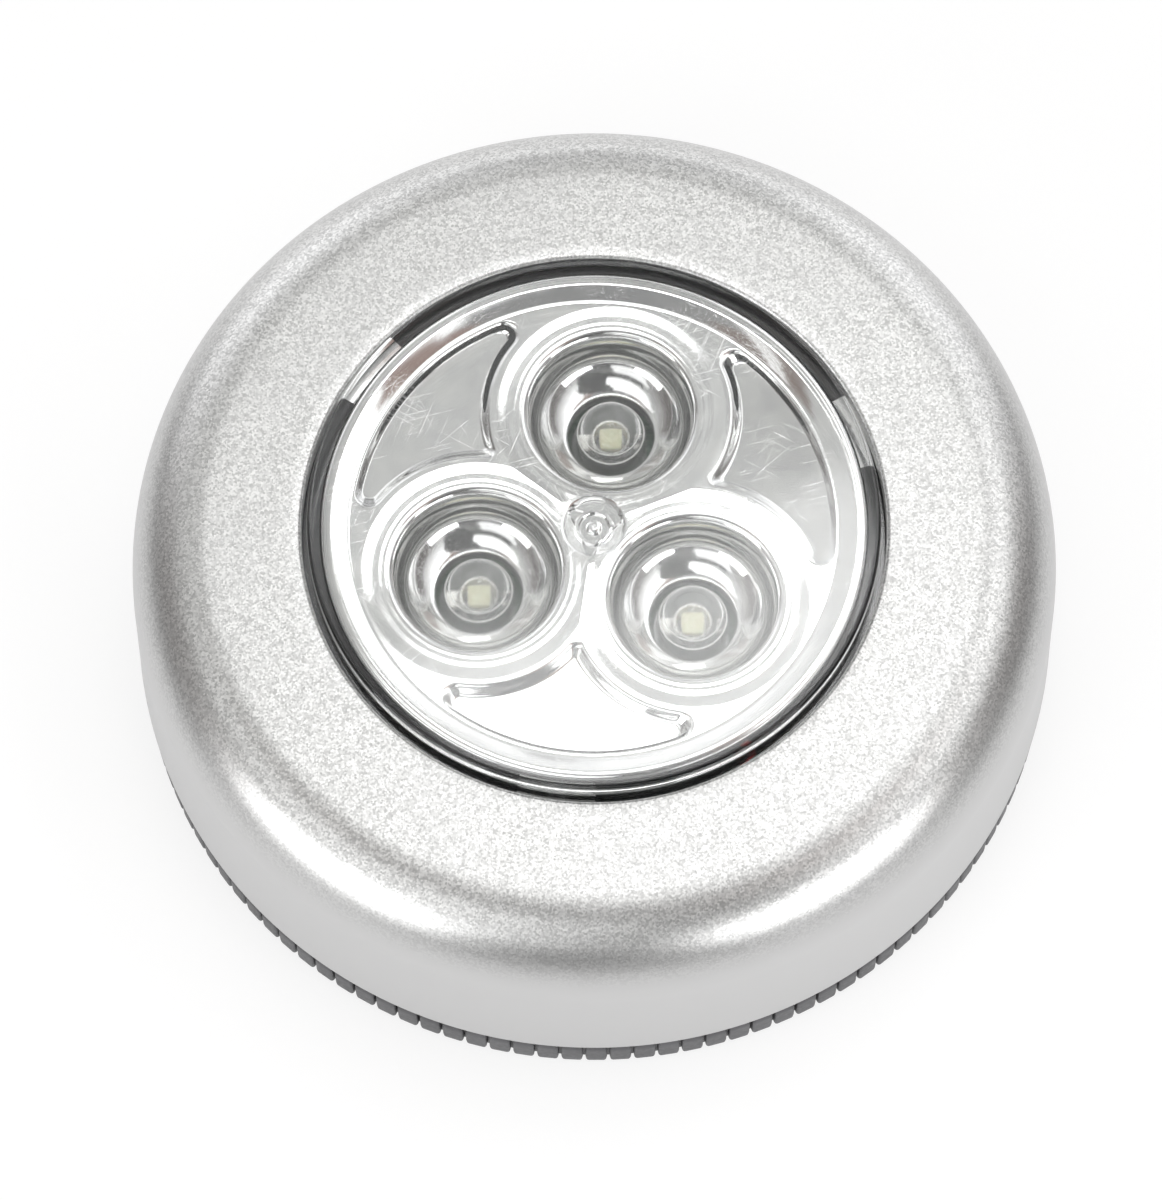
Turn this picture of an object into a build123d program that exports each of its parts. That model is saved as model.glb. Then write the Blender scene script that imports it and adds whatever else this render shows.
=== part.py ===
from build123d import *
from math import cos, hypot, pi, radians, sin, sqrt, tan
import os

# Round battery cabinet light. Millimetres, +Z up, -Y towards the viewer.
# The origin is at the middle of the adhesive back, on the surface it sticks to.

# Three AAA cells, each square to a direction 60 degrees from the LEDs. They set the light's diameter.
cup_angle = 82.0            # direction of the first LED
third_turn = 120.0
sixth_turn = 60.0
quarter_turn = 90.0
twelfth_turn = 30.0
copies = 3                  # cells, LEDs and all that goes with them
cell_radius = 5.25
cell_length = 44.5
cell_nub_length = 0.8
cell_nub_radius = 1.9
cell_edge_round = 0.4
cell_corner_gap = 0.1       # what keeps neighbouring cells' corners apart
cell_floor_gap = 0.4        # between a cell and the base floor
cell_side_gap = 0.28        # between the cells' outer corners and the skirt

# Housing
skirt_wall = 1.4
skirt_draft = 0.4           # how much narrower the skirt is at the shoulder than at its foot
shoulder_width = 5.9        # from the flat panel to the skirt, seen from above
shoulder_drop = 6.8         # height of the rounded shoulder
housing_height = 17.2       # skirt foot to panel
panel_wall = 1.5
opening_radius = 21.0       # round opening for the lens
edge_round = 0.3            # small rounding on moulded edges
cut_overrun = 1.0           # how far cuts run past the faces they open
seat_gap = 0.1              # running gap between flat faces of moving pieces
side_gap = 0.3              # running gap between round faces of moving pieces
thread_gap = 0.02           # gap round a screw's thread and at a spring's ends

# Base and its knurled ring
rim_height = 3.6            # base ring, from its bottom to the skirt foot
base_wall = 1.6             # floor of the base
knurl_count = 120
knurl_inset = 0.1           # faces of the ribs, inside the skirt's foot
knurl_depth = 0.45
knurl_gap = 0.2             # between neighbouring ribs
knurl_round = 0.25          # at the ribs' upright edges
neck_height = 0.25          # plain neck that carries the skirt's foot
neck_inset = 0.3
rim_wall = 1.25

# Adhesive foam pad on the back
pad_radius = 27.0
pad_thickness = 1.0
pad_proud = 0.5             # part of the pad that stands out of its recess

# Bayonet between base and housing
hook_angle = -9.0           # middle of each hook, from its cell's direction
hook_half_angle = 8.0
hook_reach = 1.3
hook_stem_wall = 1.2
hook_thickness = 1.4
catch_bottom = 2.4          # skirt foot to the underside of the housing's catch
catch_thickness = 1.5
stop_angle = 1.5            # width of the stop beside each catch

# Battery tray
tray_wall = 1.2
tray_gap = 0.5              # between the tray's edge and the skirt
bay_gap = 0.3               # between a cell and the bay's walls
rib_drop = 6.3              # height of a bay's outer rib
rib_screw_gap = 0.6         # between a bay's outer rib and the tray screw's head
bucket_corner_radius = 16.0
tray_floor_gap = 0.2        # between the base floor and the tray's floor
post_radius = 2.4
post_share = 0.17           # of the room under the switch, taken up by the tray's post

# Contacts
strip_thickness = 0.3
strip_width = 7.0
strip_inset = 2.45          # from a cell's outer side to the end of a strip
terminal_length = 4.8
tab_width = 2.0
tab_height = 1.8            # part of a tab above the tray
tab_offset = 0.6            # middle of a tab, outside the cell's axis
tab_clearance = 0.2
spring_room = 1.8           # between a cell's negative end and its contact
coil_radius = 2.4
coil_wire_radius = 0.2
coil_turns = 2.5

# Lens
lens_gap = 0.45             # between the lens and the edge of the opening
lens_proud = 1.2
lens_top_wall = 1.3
lens_side_wall = 1.15
lens_flange_reach = 1.3     # how far the flange goes under the panel
lens_flange_thickness = 1.0
lens_edge_round = 0.4
guide_gap = 0.25            # between the lens flange and the guide collar
collar_wall = 1.15
key_width = 1.2             # ribs that stop the lens turning
key_depth = 0.65
key_clearance = 0.2

# Reflector
reflector_gap = 0.25        # between the lens and the reflector's face
reflector_side_gap = 0.15
reflector_wall = 1.0
reflector_plate = 1.2
reflector_rim_rise = 0.45   # how far the rim slopes up from the face
reflector_rim_width = 1.3   # of that slope, seen from above
reflector_rim_land = 0.15   # flat edge at the top of the slope
reflector_tab_reach = 0.5   # how far the three tabs go under the panel
reflector_tab_half_angle = 8.0
cup_radius = 6.5
cup_pitch_radius = 9.0
cup_hole_gap = 0.68         # round an LED
cup_hole_depth = 4.45
cup_edge_round = 0.2
pocket_rim = 1.55           # from the reflector's edge to the crescent pockets
pocket_land = 3.0           # from a cup's edge to the crescent pockets
pocket_depth = 0.55
pocket_draft = 40.0
dish_land = 0.3             # between the cups and the shallow dish in the middle
dish_depth = 0.5
dish_ring_radius = 1.4
dish_ring_wall = 0.35
dish_ring_height = 0.3
gate_radius = 0.5
gate_height = 0.4

# LEDs
led_radius = 2.45
led_flange_reach = 0.45
led_flange_height = 1.0
led_barrel_height = 1.8     # flange top to the middle of the dome
lead_width = 0.5
lead_pitch = 2.54
lead_below_board = 0.5
lead_hole_gap = 0.1
anvil_width = 1.9
anvil_depth = 1.2
anvil_height = 0.9
anvil_rise = 1.3            # flange bottom to the underside of the anvil
chip_radius = 0.5
chip_height = 0.25

# Board, resistors and screws
board_thickness = 1.2
board_radius = 12.2
board_gap = 0.85            # between the board's flats and the tray
board_screw_place = 7.4
screw_radius = 0.8
screw_head_radius = 1.6
screw_head_height = 1.0
screw_bite = 4.0            # depth of the hole in a boss
screw_tip_gap = 1.0         # left empty at the end of that hole
screw_hole_gap = 0.2
boss_wall = 1.1
slot_width = 0.4            # driver slot across a screw head
slot_depth = 0.5
tray_screw_inset = 3.4      # from the skirt's inner face to a tray screw
tray_screw_angle = 24.0     # from the cell's direction
resistor_length = 2.0
resistor_width = 1.25
resistor_height = 0.6
resistor_place = 9.2
resistor_angle = 32.0       # from the LED's direction

# Push switch
switch_width = 7.0
switch_height = 5.0
switch_wall = 0.6
plunger_radius = 1.5
plunger_collar_reach = 0.8
plunger_collar_height = 0.8
plunger_gap = 0.1
switch_spring_radius = 1.6
switch_wire_radius = 0.13
switch_spring_turns = 4.0
pin_width = 0.6
pin_thickness = 0.3
pin_pitch = 2.0
pin_row_gap = 5.2
pin_above_board = 0.4

# Leads from the end contacts to the board, each way from the third LED's direction
wire_diameter = 0.8
wire_arc_share = 0.45       # of the shorter of two runs, taken up by the arc between them
wire_height = 1.0           # wire axis above the tray's top
wire_first_run = 4.0        # straight out of the contact's tab
wire_slot_angle = 16.0      # slot in the collar
wire_slot_half_angle = 4.0
wire_slot_height = 2.1
wire_bend_run = 3.4         # from the bend beside a cup to the edge of the tray's bucket
wire_bend_angle = 21.0
wire_edge_angle = 27.0
wire_edge_dip = 0.2
wire_end_angle = 31.0
wire_end_run = 1.7          # straight down to the board
wire_board_inset = 0.7      # from the board's edge to the middle of a lead

# Heights
base_bottom_z = pad_proud
base_floor_z = base_bottom_z + base_wall
skirt_foot_z = base_bottom_z + rim_height
panel_top_z = skirt_foot_z + housing_height
panel_under_z = panel_top_z - panel_wall
shoulder_z = panel_top_z - shoulder_drop
catch_z = skirt_foot_z + catch_bottom
hook_z = catch_z + catch_thickness + seat_gap
hook_top_z = hook_z + hook_thickness
cell_z = base_floor_z + cell_floor_gap + cell_radius
ceiling_z = cell_z + cell_radius + bay_gap
tray_top_z = ceiling_z + tray_wall
tray_floor_z = base_floor_z + tray_floor_gap + tray_wall
lens_top_z = panel_top_z + lens_proud
flange_top_z = panel_under_z - seat_gap
flange_bottom_z = flange_top_z - lens_flange_thickness
reflector_top_z = lens_top_z - lens_top_wall - reflector_gap
face_z = reflector_top_z - reflector_rim_rise
tab_bottom_z = flange_bottom_z - reflector_wall
cup_hole_z = face_z - cup_hole_depth
dome_z = cup_hole_z
board_top_z = dome_z - led_barrel_height - led_flange_height
board_bottom_z = board_top_z - board_thickness
switch_bottom_z = board_bottom_z - switch_height
post_height = post_share * (switch_bottom_z - tray_floor_z)
post_top_z = tray_floor_z + post_height

# Places of the cells, then the radii and directions that follow
half_cell = cell_length / 2
cell_distance = cell_radius + half_cell / tan(radians(sixth_turn)) + cell_corner_gap
cell_reach = hypot(half_cell, cell_distance + cell_radius)
foot_radius = cell_reach + cell_side_gap + skirt_wall
shoulder_radius = foot_radius - skirt_draft
inner_radius = shoulder_radius - skirt_wall
panel_radius = shoulder_radius - shoulder_width
knurl_crest_radius = foot_radius - knurl_inset
knurl_valley_radius = knurl_crest_radius - knurl_depth
knurl_rib_width = 2 * pi * knurl_crest_radius / knurl_count - knurl_gap
neck_radius = knurl_valley_radius - neck_inset
rim_inner_radius = neck_radius - rim_wall
hook_radius = inner_radius - seat_gap
hook_stem_outer = hook_radius - hook_reach
hook_stem_inner = hook_stem_outer - hook_stem_wall
catch_outer = shoulder_radius - skirt_wall / 2
tray_radius = inner_radius - tray_gap
block_radius = rim_inner_radius - side_gap
tray_screw_place = inner_radius - tray_screw_inset
tray_screw_side = tray_screw_place * sin(radians(tray_screw_angle))
rib_half_length = tray_screw_side - screw_head_radius - rib_screw_gap
lens_radius = opening_radius - lens_gap
lens_flange_radius = opening_radius + lens_flange_reach
lens_inner_radius = lens_radius - lens_side_wall
reflector_radius = lens_inner_radius - reflector_side_gap
reflector_tab_radius = opening_radius + reflector_tab_reach
rim_top_radius = reflector_radius - reflector_rim_land
rim_foot_radius = rim_top_radius - reflector_rim_width
pocket_radius = reflector_radius - pocket_rim
pocket_inner_radius = cup_radius + pocket_land
dish_radius = cup_pitch_radius - cup_radius - dish_land
cup_hole_radius = led_radius + cup_hole_gap
led_flange_radius = led_radius + led_flange_reach
plunger_collar_radius = plunger_radius + plunger_collar_reach
collar_inner = lens_flange_radius + guide_gap
collar_outer = collar_inner + collar_wall
catch_inner = hook_stem_outer + side_gap
bay_inner = cell_distance - cell_radius - bay_gap
bay_outer = cell_distance + cell_radius + bay_gap
bucket_flat = bay_inner - tray_wall
board_flat = bucket_flat - board_gap
wire_edge_radius = bucket_flat / cos(radians(sixth_turn - wire_edge_angle))
wire_bend_radius = wire_edge_radius + wire_bend_run
wire_end_radius = board_flat / cos(radians(sixth_turn - wire_end_angle)) - wire_board_inset
strip_reach = cell_distance + cell_radius - strip_inset
terminal_start = strip_reach - terminal_length
tab_place = cell_distance + tab_offset
cup_angles = [cup_angle + third_turn * turn for turn in range(copies)]
cell_angles = [angle - sixth_turn for angle in cup_angles]

# The tray's bosses end inside the shoulder's wall
boss_reach = tray_screw_place + screw_radius + boss_wall - panel_radius
boss_share = boss_reach / (catch_outer - panel_radius)
boss_top_z = shoulder_z + (shoulder_drop - panel_wall / 2) * sqrt(1 - boss_share ** 2)


def polar(radius, angle, height=0):
    """Point at a radius, an angle in degrees and a height."""
    return Vector(radius * cos(radians(angle)), radius * sin(radians(angle)), height)


def in_corner(angle, positive_side, along, across, height=0):
    """Point in a battery corner, measured from the cell on one side of it.

    along is the distance from the cell's middle along its axis, across is the
    distance from the light's axis in the cell's own direction.
    """
    side = -1 if positive_side else 1
    return polar(along, angle - side * twelfth_turn) + polar(across, angle + side * sixth_turn, height)


def corner_point(angle, plus_distance, minus_distance):
    """Point where two planes square to the neighbouring cells meet in a corner."""
    outward = (plus_distance + minus_distance) / (2 * cos(radians(twelfth_turn)))
    sideways = (plus_distance - minus_distance) / (2 * sin(radians(twelfth_turn)))
    return polar(outward, angle) + polar(sideways, angle + quarter_turn)


def sector(inner, outer, middle, half_angle):
    """Face between two radii, centred on an angle."""
    with BuildSketch() as face:
        with BuildLine():
            outside = CenterArc((0, 0), outer, middle - half_angle, 2 * half_angle)
            inside = CenterArc((0, 0), inner, middle - half_angle, 2 * half_angle)
            Line(outside @ 0, inside @ 0)
            Line(outside @ 1, inside @ 1)
        make_face()
    return face.sketch


def rounded_triangle(flat, corner_radius):
    """Triangle with flats towards the cells, cut by a circle at its corners."""
    with BuildSketch() as face:
        Circle(corner_radius)
        RegularPolygon(flat, copies, major_radius=False, rotation=cup_angle, mode=Mode.INTERSECT)
    return face.sketch


def screw(points, top_of_head_down, length):
    """Group of slotted pan-head screws that point up, with their heads' upper face at the points."""
    with BuildPart() as group:
        with Locations(*points):
            Cylinder(screw_head_radius, top_of_head_down, align=(Align.CENTER, Align.CENTER, Align.MAX))
            Cylinder(screw_radius, length, align=(Align.CENTER, Align.CENTER, Align.MIN))
        slots = [point - Vector(0, 0, top_of_head_down) for point in points]
        with Locations(*slots):
            Box(
                2 * screw_head_radius + cut_overrun, slot_width, slot_depth,
                align=(Align.CENTER, Align.CENTER, Align.MIN), mode=Mode.SUBTRACT,
            )
    return group.part


def coil(start, direction, length, radius, wire_radius, turns):
    """Helical spring of round wire between two planes, drawn as one unbroken tube."""
    rise = length - 2 * wire_radius - 2 * thread_gap
    with BuildPart() as spring:
        with BuildLine() as path:
            Helix(rise / turns, rise, radius, center=start + direction * (wire_radius + thread_gap),
                  direction=direction)
        with BuildSketch(Plane(origin=path.line @ 0, z_dir=path.line % 0)):
            Circle(wire_radius)
        sweep(is_frenet=True)
    return spring.part


def wire(points):
    """Insulated lead along straight runs joined by arcs as large as the runs allow."""
    radii = []
    for before, corner, after in zip(points, points[1:], points[2:]):
        turn = (corner - before).get_angle(after - corner)
        shorter = min((corner - before).length, (after - corner).length)
        radii.append(wire_arc_share * shorter / tan(radians(turn) / 2))
    with BuildPart() as lead:
        with BuildLine() as path:
            FilletPolyline(*points, radius=radii)
        with BuildSketch(Plane(origin=path.line @ 0, z_dir=path.line % 0)):
            Circle(wire_diameter / 2)
        sweep()
    route_length = sum(edge.length for edge in path.edges())
    tube_volume = pi * wire_diameter ** 2 / 4 * route_length
    print("lead radii", [round(radius, 2) for radius in radii], "length", round(route_length, 2))
    print("lead volume", round(lead.part.volume, 3), "section times length", round(tube_volume, 3))
    return lead.part


# Base cover: knurled ring, floor, three bayonet hooks and the recess for the pad
with BuildPart() as base_cover:
    with BuildSketch(Plane.XY.offset(base_bottom_z)):
        Circle(knurl_valley_radius)
        with PolarLocations(knurl_valley_radius, knurl_count):
            RectangleRounded(2 * knurl_depth, knurl_rib_width, knurl_round)
    extrude(amount=rim_height - neck_height)
    with BuildSketch(Plane.XY.offset(skirt_foot_z - neck_height)):
        Circle(neck_radius)
    extrude(amount=neck_height)
    with BuildSketch(Plane.XY.offset(base_floor_z)):
        Circle(rim_inner_radius)
    extrude(amount=rim_height, mode=Mode.SUBTRACT)
    with BuildSketch(Plane.XY.offset(base_floor_z)):
        for angle in cell_angles:
            add(sector(hook_stem_inner, hook_stem_outer, angle + hook_angle, hook_half_angle))
    extrude(amount=hook_top_z - base_floor_z)
    with BuildSketch(Plane.XY.offset(hook_z)):
        for angle in cell_angles:
            add(sector(hook_stem_inner, hook_radius, angle + hook_angle, hook_half_angle))
    extrude(amount=hook_thickness)
    with BuildSketch(Plane.XY.offset(base_bottom_z)):
        Circle(pad_radius)
    extrude(amount=pad_thickness - pad_proud, mode=Mode.SUBTRACT)

# Foam pad, seated in the recess of the base
with BuildPart() as adhesive_pad:
    Cylinder(pad_radius - seat_gap, pad_thickness, align=(Align.CENTER, Align.CENTER, Align.MIN))

# Housing: turned shell, guide collar with keys, tray bosses and bayonet catches
with BuildPart() as top_housing:
    with BuildSketch(Plane.XZ):
        with BuildLine():
            Polyline(
                (panel_radius, panel_under_z), (opening_radius, panel_under_z),
                (opening_radius, panel_top_z), (panel_radius, panel_top_z),
            )
            EllipticalCenterArc(
                (panel_radius, shoulder_z), shoulder_radius - panel_radius, shoulder_drop,
                start_angle=0, arc_size=quarter_turn,
            )
            Polyline(
                (shoulder_radius, shoulder_z), (foot_radius, skirt_foot_z),
                (foot_radius - skirt_wall, skirt_foot_z), (shoulder_radius - skirt_wall, shoulder_z),
            )
            EllipticalCenterArc(
                (panel_radius, shoulder_z), shoulder_radius - skirt_wall - panel_radius,
                shoulder_drop - panel_wall, start_angle=0, arc_size=quarter_turn,
            )
        make_face()
    revolve(axis=Axis.Z)
    rims = top_housing.edges().filter_by(GeomType.CIRCLE)
    fillet(rims.filter_by(lambda edge: abs(edge.radius - opening_radius) < thread_gap).group_by(Axis.Z)[-1],
           edge_round)
    rims = top_housing.edges().filter_by(GeomType.CIRCLE)
    fillet(rims.group_by(Axis.Z)[0].sort_by(lambda edge: edge.radius)[-1], edge_round)
    with BuildSketch(Plane.XY.offset(tray_top_z)):
        Circle(collar_outer)
        Circle(collar_inner, mode=Mode.SUBTRACT)
        with PolarLocations(collar_inner - key_depth, copies, start_angle=cell_angles[0]):
            Rectangle(key_depth + collar_wall / 2, key_width, align=(Align.MIN, Align.CENTER))
        for side in (-1, 1):
            add(
                sector(
                    collar_inner - cut_overrun, collar_outer + cut_overrun,
                    cup_angles[2] + side * wire_slot_angle, wire_slot_half_angle,
                ),
                mode=Mode.SUBTRACT,
            )
    extrude(amount=wire_slot_height)
    with BuildSketch(Plane.XY.offset(tray_top_z + wire_slot_height)):
        Circle(collar_outer)
        Circle(collar_inner, mode=Mode.SUBTRACT)
        with PolarLocations(collar_inner - key_depth, copies, start_angle=cell_angles[0]):
            Rectangle(key_depth + collar_wall / 2, key_width, align=(Align.MIN, Align.CENTER))
    extrude(amount=panel_under_z - tray_top_z - wire_slot_height)
    with BuildSketch(Plane.XY.offset(tray_top_z)):
        with PolarLocations(tray_screw_place, copies, start_angle=cell_angles[0] + tray_screw_angle):
            Circle(screw_radius + boss_wall)
    extrude(amount=boss_top_z - tray_top_z)
    with BuildSketch(Plane.XY.offset(tray_top_z)):
        with PolarLocations(tray_screw_place, copies, start_angle=cell_angles[0] + tray_screw_angle):
            Circle(screw_radius + thread_gap)
    extrude(amount=screw_bite, mode=Mode.SUBTRACT)
    with BuildSketch(Plane.XY.offset(catch_z)):
        for angle in cell_angles:
            add(sector(catch_inner, catch_outer, angle + hook_angle, hook_half_angle))
    extrude(amount=catch_thickness)
    with BuildSketch(Plane.XY.offset(catch_z)):
        for angle in cell_angles:
            stop_middle = angle + hook_angle + hook_half_angle + stop_angle / 2
            add(sector(catch_inner, catch_outer, stop_middle, stop_angle / 2))
    extrude(amount=hook_top_z - catch_z)

# Battery tray: ceiling, central bucket with the switch post, bay ribs and corner blocks
with BuildPart() as battery_tray:
    with BuildSketch(Plane.XY.offset(ceiling_z)):
        Circle(tray_radius)
        for angle in cell_angles:
            catch_middle = angle + hook_angle + stop_angle / 2
            add(
                sector(catch_inner - side_gap, tray_radius + cut_overrun, catch_middle,
                       hook_half_angle + stop_angle),
                mode=Mode.SUBTRACT,
            )
    extrude(amount=tray_wall)
    with BuildSketch(Plane.XY.offset(tray_floor_z - tray_wall)):
        add(rounded_triangle(bay_inner, bucket_corner_radius + tray_wall))
    extrude(amount=tray_top_z - tray_floor_z + tray_wall)
    with BuildSketch(Plane.XY.offset(tray_floor_z)):
        add(rounded_triangle(bucket_flat, bucket_corner_radius))
    extrude(amount=tray_top_z - tray_floor_z + cut_overrun, mode=Mode.SUBTRACT)
    with Locations((0, 0, tray_floor_z)):
        Cylinder(post_radius, post_height, align=(Align.CENTER, Align.CENTER, Align.MIN))
    with BuildSketch(Plane.XY.offset(ceiling_z - rib_drop)):
        with PolarLocations(bay_outer, copies, start_angle=cell_angles[0]):
            Rectangle(tray_wall, 2 * rib_half_length, align=(Align.MIN, Align.CENTER))
    extrude(amount=rib_drop)
    with BuildSketch(Plane.XY.offset(base_floor_z + cell_floor_gap)) as blocks:
        for angle in cup_angles:
            tip = corner_point(angle, half_cell + strip_thickness, half_cell + spring_room + strip_thickness)
            with BuildLine():
                Polyline(
                    tip, tip + polar(block_radius, angle - sixth_turn), tip + polar(block_radius, angle),
                    tip + polar(block_radius, angle + sixth_turn), close=True,
                )
            make_face()
        Circle(block_radius, mode=Mode.INTERSECT)
    extrude(amount=ceiling_z - base_floor_z - cell_floor_gap)
    with BuildSketch(Plane.XY.offset(ceiling_z)):
        with PolarLocations(tray_screw_place, copies, start_angle=cell_angles[0] + tray_screw_angle):
            Circle(screw_radius + screw_hole_gap)
        for plus in (True, False):
            along = half_cell + strip_thickness / 2 + (0 if plus else spring_room)
            with Locations(in_corner(cup_angles[2], plus, along, tab_place)):
                Rectangle(
                    strip_thickness + 2 * tab_clearance, tab_width + 2 * tab_clearance,
                    rotation=cup_angles[2] + (1 if plus else -1) * twelfth_turn,
                )
    extrude(amount=tray_wall, mode=Mode.SUBTRACT)

tray_screw_points = [
    polar(tray_screw_place, angle + tray_screw_angle, ceiling_z) for angle in cell_angles
]
tray_screws = screw(tray_screw_points, screw_head_height, tray_wall + screw_bite - screw_tip_gap)

# Cells: the positive nub of each points the way the angle grows
cells = []
for angle in cell_angles:
    axis = polar(1, angle + quarter_turn)
    middle = polar(cell_distance, angle, cell_z)
    with BuildPart() as cell:
        with BuildSketch(Plane(origin=middle - axis * half_cell, z_dir=axis)):
            Circle(cell_radius)
        extrude(amount=cell_length - cell_nub_length)
        fillet(cell.edges().filter_by(GeomType.CIRCLE), cell_edge_round)
        with BuildSketch(Plane(origin=middle + axis * (half_cell - cell_nub_length), z_dir=axis)):
            Circle(cell_nub_radius)
        extrude(amount=cell_nub_length)
    cells.append(cell)

# Coil springs between each cell's negative end and its contact
coils = []
for angle in cell_angles:
    axis = polar(1, angle + quarter_turn)
    start = polar(cell_distance, angle, cell_z) - axis * (half_cell + spring_room)
    coils.append(coil(start, axis, spring_room, coil_radius, coil_wire_radius, coil_turns))
with BuildPart() as contact_springs:
    add(coils)

# Bent strips that join one cell's positive end to the next cell's negative end
with BuildPart() as bridge_contacts:
    with BuildSketch(Plane.XY.offset(cell_z - strip_width / 2)):
        for angle in cup_angles[:2]:
            plus_line = half_cell + strip_thickness / 2
            minus_line = plus_line + spring_room
            bend = corner_point(angle, plus_line, minus_line)
            with BuildLine() as strip_path:
                FilletPolyline(
                    in_corner(angle, True, plus_line, strip_reach), bend,
                    in_corner(angle, False, minus_line, strip_reach),
                    radius=strip_thickness / 2 + thread_gap,
                )
            trace(line_width=strip_thickness)
    extrude(amount=strip_width)

# End contacts with solder tabs through the tray
end_contacts = []
for plus in (True, False):
    along = half_cell + strip_thickness / 2 + (0 if plus else spring_room)
    turn = cup_angles[2] + (1 if plus else -1) * twelfth_turn
    with BuildPart() as contact:
        plate_middle = (terminal_start + strip_reach) / 2
        with BuildSketch(Plane.XY.offset(cell_z - strip_width / 2)):
            with Locations(in_corner(cup_angles[2], plus, along, plate_middle)):
                Rectangle(strip_thickness, strip_reach - terminal_start, rotation=turn)
        extrude(amount=strip_width)
        with BuildSketch(Plane.XY.offset(cell_z)):
            with Locations(in_corner(cup_angles[2], plus, along, tab_place)):
                Rectangle(strip_thickness, tab_width, rotation=turn)
        extrude(amount=tray_top_z + tab_height - cell_z)
    end_contacts.append(contact)

# Lens: clear cap with a flange that stops under the panel
with BuildPart() as lens_cap:
    with BuildSketch(Plane.XZ):
        with BuildLine():
            Polyline(
                (0, lens_top_z - lens_top_wall), (0, lens_top_z), (lens_radius, lens_top_z),
                (lens_radius, flange_top_z), (lens_flange_radius, flange_top_z),
                (lens_flange_radius, flange_bottom_z), (lens_inner_radius, flange_bottom_z),
                (lens_inner_radius, lens_top_z - lens_top_wall), close=True,
            )
        make_face()
    revolve(axis=Axis.Z)
    fillet(lens_cap.edges().filter_by(GeomType.CIRCLE).group_by(Axis.Z)[-1], lens_edge_round)
    with BuildSketch(Plane.XY.offset(flange_bottom_z)):
        with PolarLocations(collar_inner - key_depth - key_clearance, copies, start_angle=cell_angles[0]):
            Rectangle(
                key_depth + cut_overrun, key_width + 2 * key_clearance, align=(Align.MIN, Align.CENTER)
            )
    extrude(amount=lens_flange_thickness, mode=Mode.SUBTRACT)

# Reflector: face plate, sloping rim, three tabs, three cups, three crescent pockets and screw bosses
cup_ellipse_share = sqrt(1 - (cup_hole_radius / cup_radius) ** 2)
cup_depth = cup_hole_depth / cup_ellipse_share
cup_bottom_z = cup_hole_z - reflector_wall
with BuildPart() as cup_body:
    with BuildSketch(Plane.XZ):
        with BuildLine():
            EllipticalCenterArc(
                (0, face_z), cup_radius + reflector_wall, cup_depth + reflector_wall,
                start_angle=-quarter_turn, arc_size=quarter_turn,
            )
            Polyline(
                (cup_radius + reflector_wall, face_z), (0, face_z),
                (0, face_z - cup_depth - reflector_wall),
            )
        make_face()
    revolve(axis=Axis.Z)
    split(bisect_by=Plane.XY.offset(cup_bottom_z), keep=Keep.TOP)
with BuildPart() as cup_bowl:
    with BuildSketch(Plane.XZ):
        with BuildLine():
            EllipticalCenterArc(
                (0, face_z), cup_radius, cup_depth,
                start_angle=-quarter_turn, arc_size=quarter_turn,
            )
            Polyline(
                (cup_radius, face_z), (0, face_z), (0, face_z - cup_depth)
            )
        make_face()
    revolve(axis=Axis.Z)
with BuildPart() as pockets:
    pocket_slope = tan(radians(pocket_draft))
    pocket_height = pocket_depth + cut_overrun
    pocket_spread = pocket_height * pocket_slope
    floor_radius = pocket_radius - pocket_depth * pocket_slope
    floor_inner_radius = pocket_inner_radius + pocket_depth * pocket_slope
    with Locations((0, 0, face_z - pocket_depth)):
        Cone(
            floor_radius, floor_radius + pocket_spread, pocket_height,
            align=(Align.CENTER, Align.CENTER, Align.MIN),
        )
    with Locations((0, 0, face_z - pocket_depth)):
        with PolarLocations(cup_pitch_radius, copies, start_angle=cup_angle):
            Cone(
                floor_inner_radius, floor_inner_radius - pocket_spread, pocket_height,
                align=(Align.CENTER, Align.CENTER, Align.MIN), mode=Mode.SUBTRACT,
            )
    Cylinder(
        pocket_radius, 2 * (face_z + cut_overrun), mode=Mode.INTERSECT
    )
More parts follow.
